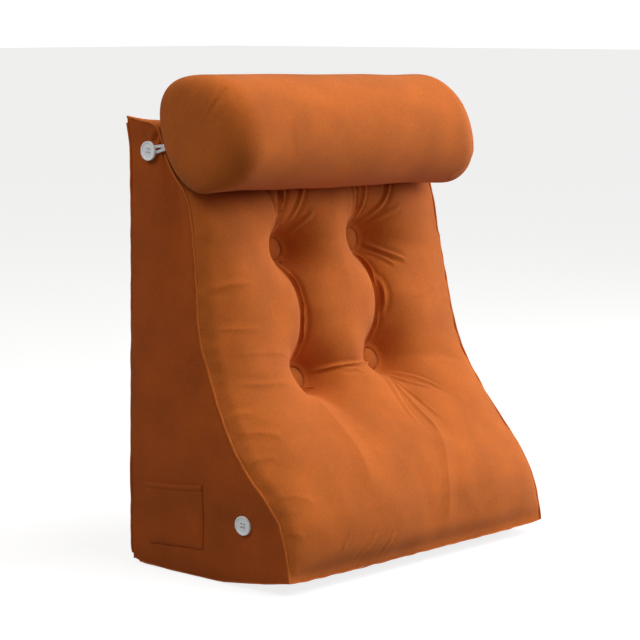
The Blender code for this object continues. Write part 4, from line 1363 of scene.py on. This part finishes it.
pocket = make_mesh("pocket_cloth", outer_verts + inner_verts, faces, uvs)
turn_outwards(pocket)
smooth(pocket, 50)
# The pocket takes the side panels' darker colour, which is painted shade
pocket.data.materials.append(side_cloth_painted_shade)
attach(pocket, "root")
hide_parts("side_pocket")


def stitch_row(start, end):
    """Stitches 3 mm long along a straight run on the pocket, as short lines of points."""
    first, last = pocket_place(*start), pocket_place(*end)
    count = max(2, round((last - first).length / STITCH_PITCH))
    lines = []
    for step in range(count):
        line = []
        for part in (0.14, 0.32, 0.5, 0.68, 0.86):
            share = (step + part) / count
            across = start[0] + (end[0] - start[0]) * share
            down = start[1] + (end[1] - start[1]) * share
            depth, height = pocket_place(across, down)
            dip = 0.0006 * (abs(part - 0.5) / 0.36) ** 3
            x = surface_x(-1, depth, height) - pocket_lift(across, down) - STITCH_RAISED + dip
            line.append((x, BACK_Y - depth, height))
        lines.append(line)
    return lines


# The pocket's stitches take the side panels' darker colour, which is painted shade, made 1.15 times lighter
cover_thread = make_cloth("cover_thread", SIDE_PAINTED_SHADE_COLOUR, shade=1.15, place="Object", bump=0.0)
rows = stitch_row((0.02, POCKET_HEM_SHARE), (0.98, POCKET_HEM_SHARE))
rows += stitch_row((0.022, 0.01), (0.022, 0.972)) + stitch_row((0.978, 0.01), (0.978, 0.972))
rows += stitch_row((0.03, 0.972), (0.97, 0.972))
pocket_stitches = add_thread("pocket_stitches", rows, STITCH_RADIUS, cover_thread)

# The studio
# A pale floor, a white surround that lights the pillow only a little, three soft lamps from the
# right, the front and above, a weaker one from behind, and the camera at the photograph's place.
CAMERA_PLACE = Vector((-2.2089, -1.9915, 0.6876))
CAMERA_AZIMUTH = math.radians(-47.43)
CAMERA_PITCH = math.radians(7.40)
CAMERA_LENS = 129.4
FLOOR_GLOW = 0.82
SURROUND_TINT = (1.0, 0.89, 0.79, 1)
SURROUND_LIGHT = 0.15
SURROUND_GLOW = 1.05
LAMP_SIZE = 1.5

bpy.ops.object.select_all(action="DESELECT")
bpy.ops.mesh.primitive_plane_add(size=90, location=(0, 0, -0.0005))
floor = bpy.context.active_object
floor.name = "studio_floor"
pale, pale_tree, pale_shader = new_material(
    "pale_floor", Base_Color=(0.30, 0.30, 0.30, 1), Roughness=1.0, Specular_IOR_Level=0.0,
    Emission_Color=(1, 1, 1, 1),
)
seen = pale_tree.nodes.new("ShaderNodeLightPath").outputs["Is Camera Ray"]
glow = add_node(pale_tree, "Math", {0: seen, 1: FLOOR_GLOW}, operation="MULTIPLY")
pale_tree.links.new(glow.outputs[0], pale_shader.inputs["Emission Strength"])
floor.data.materials.append(pale)

world = bpy.data.worlds.new("studio")
bpy.context.scene.world = world
world.use_nodes = True
surround = world.node_tree.nodes["Background"]
seen = world.node_tree.nodes.new("ShaderNodeLightPath").outputs["Is Camera Ray"]
tints = {"Factor": seen, "A": SURROUND_TINT, "B": (1, 1, 1, 1)}
tint = add_node(world.node_tree, "Mix", tints, data_type="RGBA")
strengths = {"Value": seen, "To Min": SURROUND_LIGHT, "To Max": SURROUND_GLOW}
strength = add_node(world.node_tree, "MapRange", strengths)
world.node_tree.links.new(tint.outputs["Result"], surround.inputs["Color"])
world.node_tree.links.new(strength.outputs["Result"], surround.inputs["Strength"])


def add_lamp(name, place, target_height, power):
    lamp = bpy.data.objects.new(name, bpy.data.lights.new(name, "AREA"))
    lamp.data.shape = "DISK"
    lamp.data.size = LAMP_SIZE
    lamp.data.energy = power
    lamp.location = place
    lamp.rotation_euler = (Vector((0, 0, target_height)) - lamp.location).to_track_quat("-Z", "Y").to_euler()
    bpy.context.scene.collection.objects.link(lamp)


add_lamp("key_lamp", (2.28, -1.06, 1.05), 0.46, 46)
add_lamp("front_lamp", (1.12, -1.88, 1.74), 0.46, 25)
add_lamp("high_lamp", (0.16, -1.00, 2.72), 0.40, 36)
add_lamp("back_lamp", (-1.78, 0.56, 2.14), 0.33, 22)

camera = bpy.data.objects.new("camera", bpy.data.cameras.new("camera"))
bpy.context.scene.collection.objects.link(camera)
camera.location = CAMERA_PLACE
level_turn = Matrix.Rotation(CAMERA_AZIMUTH, 4, "Z") @ Matrix.Rotation(math.pi / 2 - CAMERA_PITCH, 4, "X")
camera.rotation_euler = level_turn.to_euler()
camera.data.lens = CAMERA_LENS
camera.data.sensor_width = 36
bpy.context.scene.camera = camera
bpy.context.scene.view_settings.view_transform = "Standard"
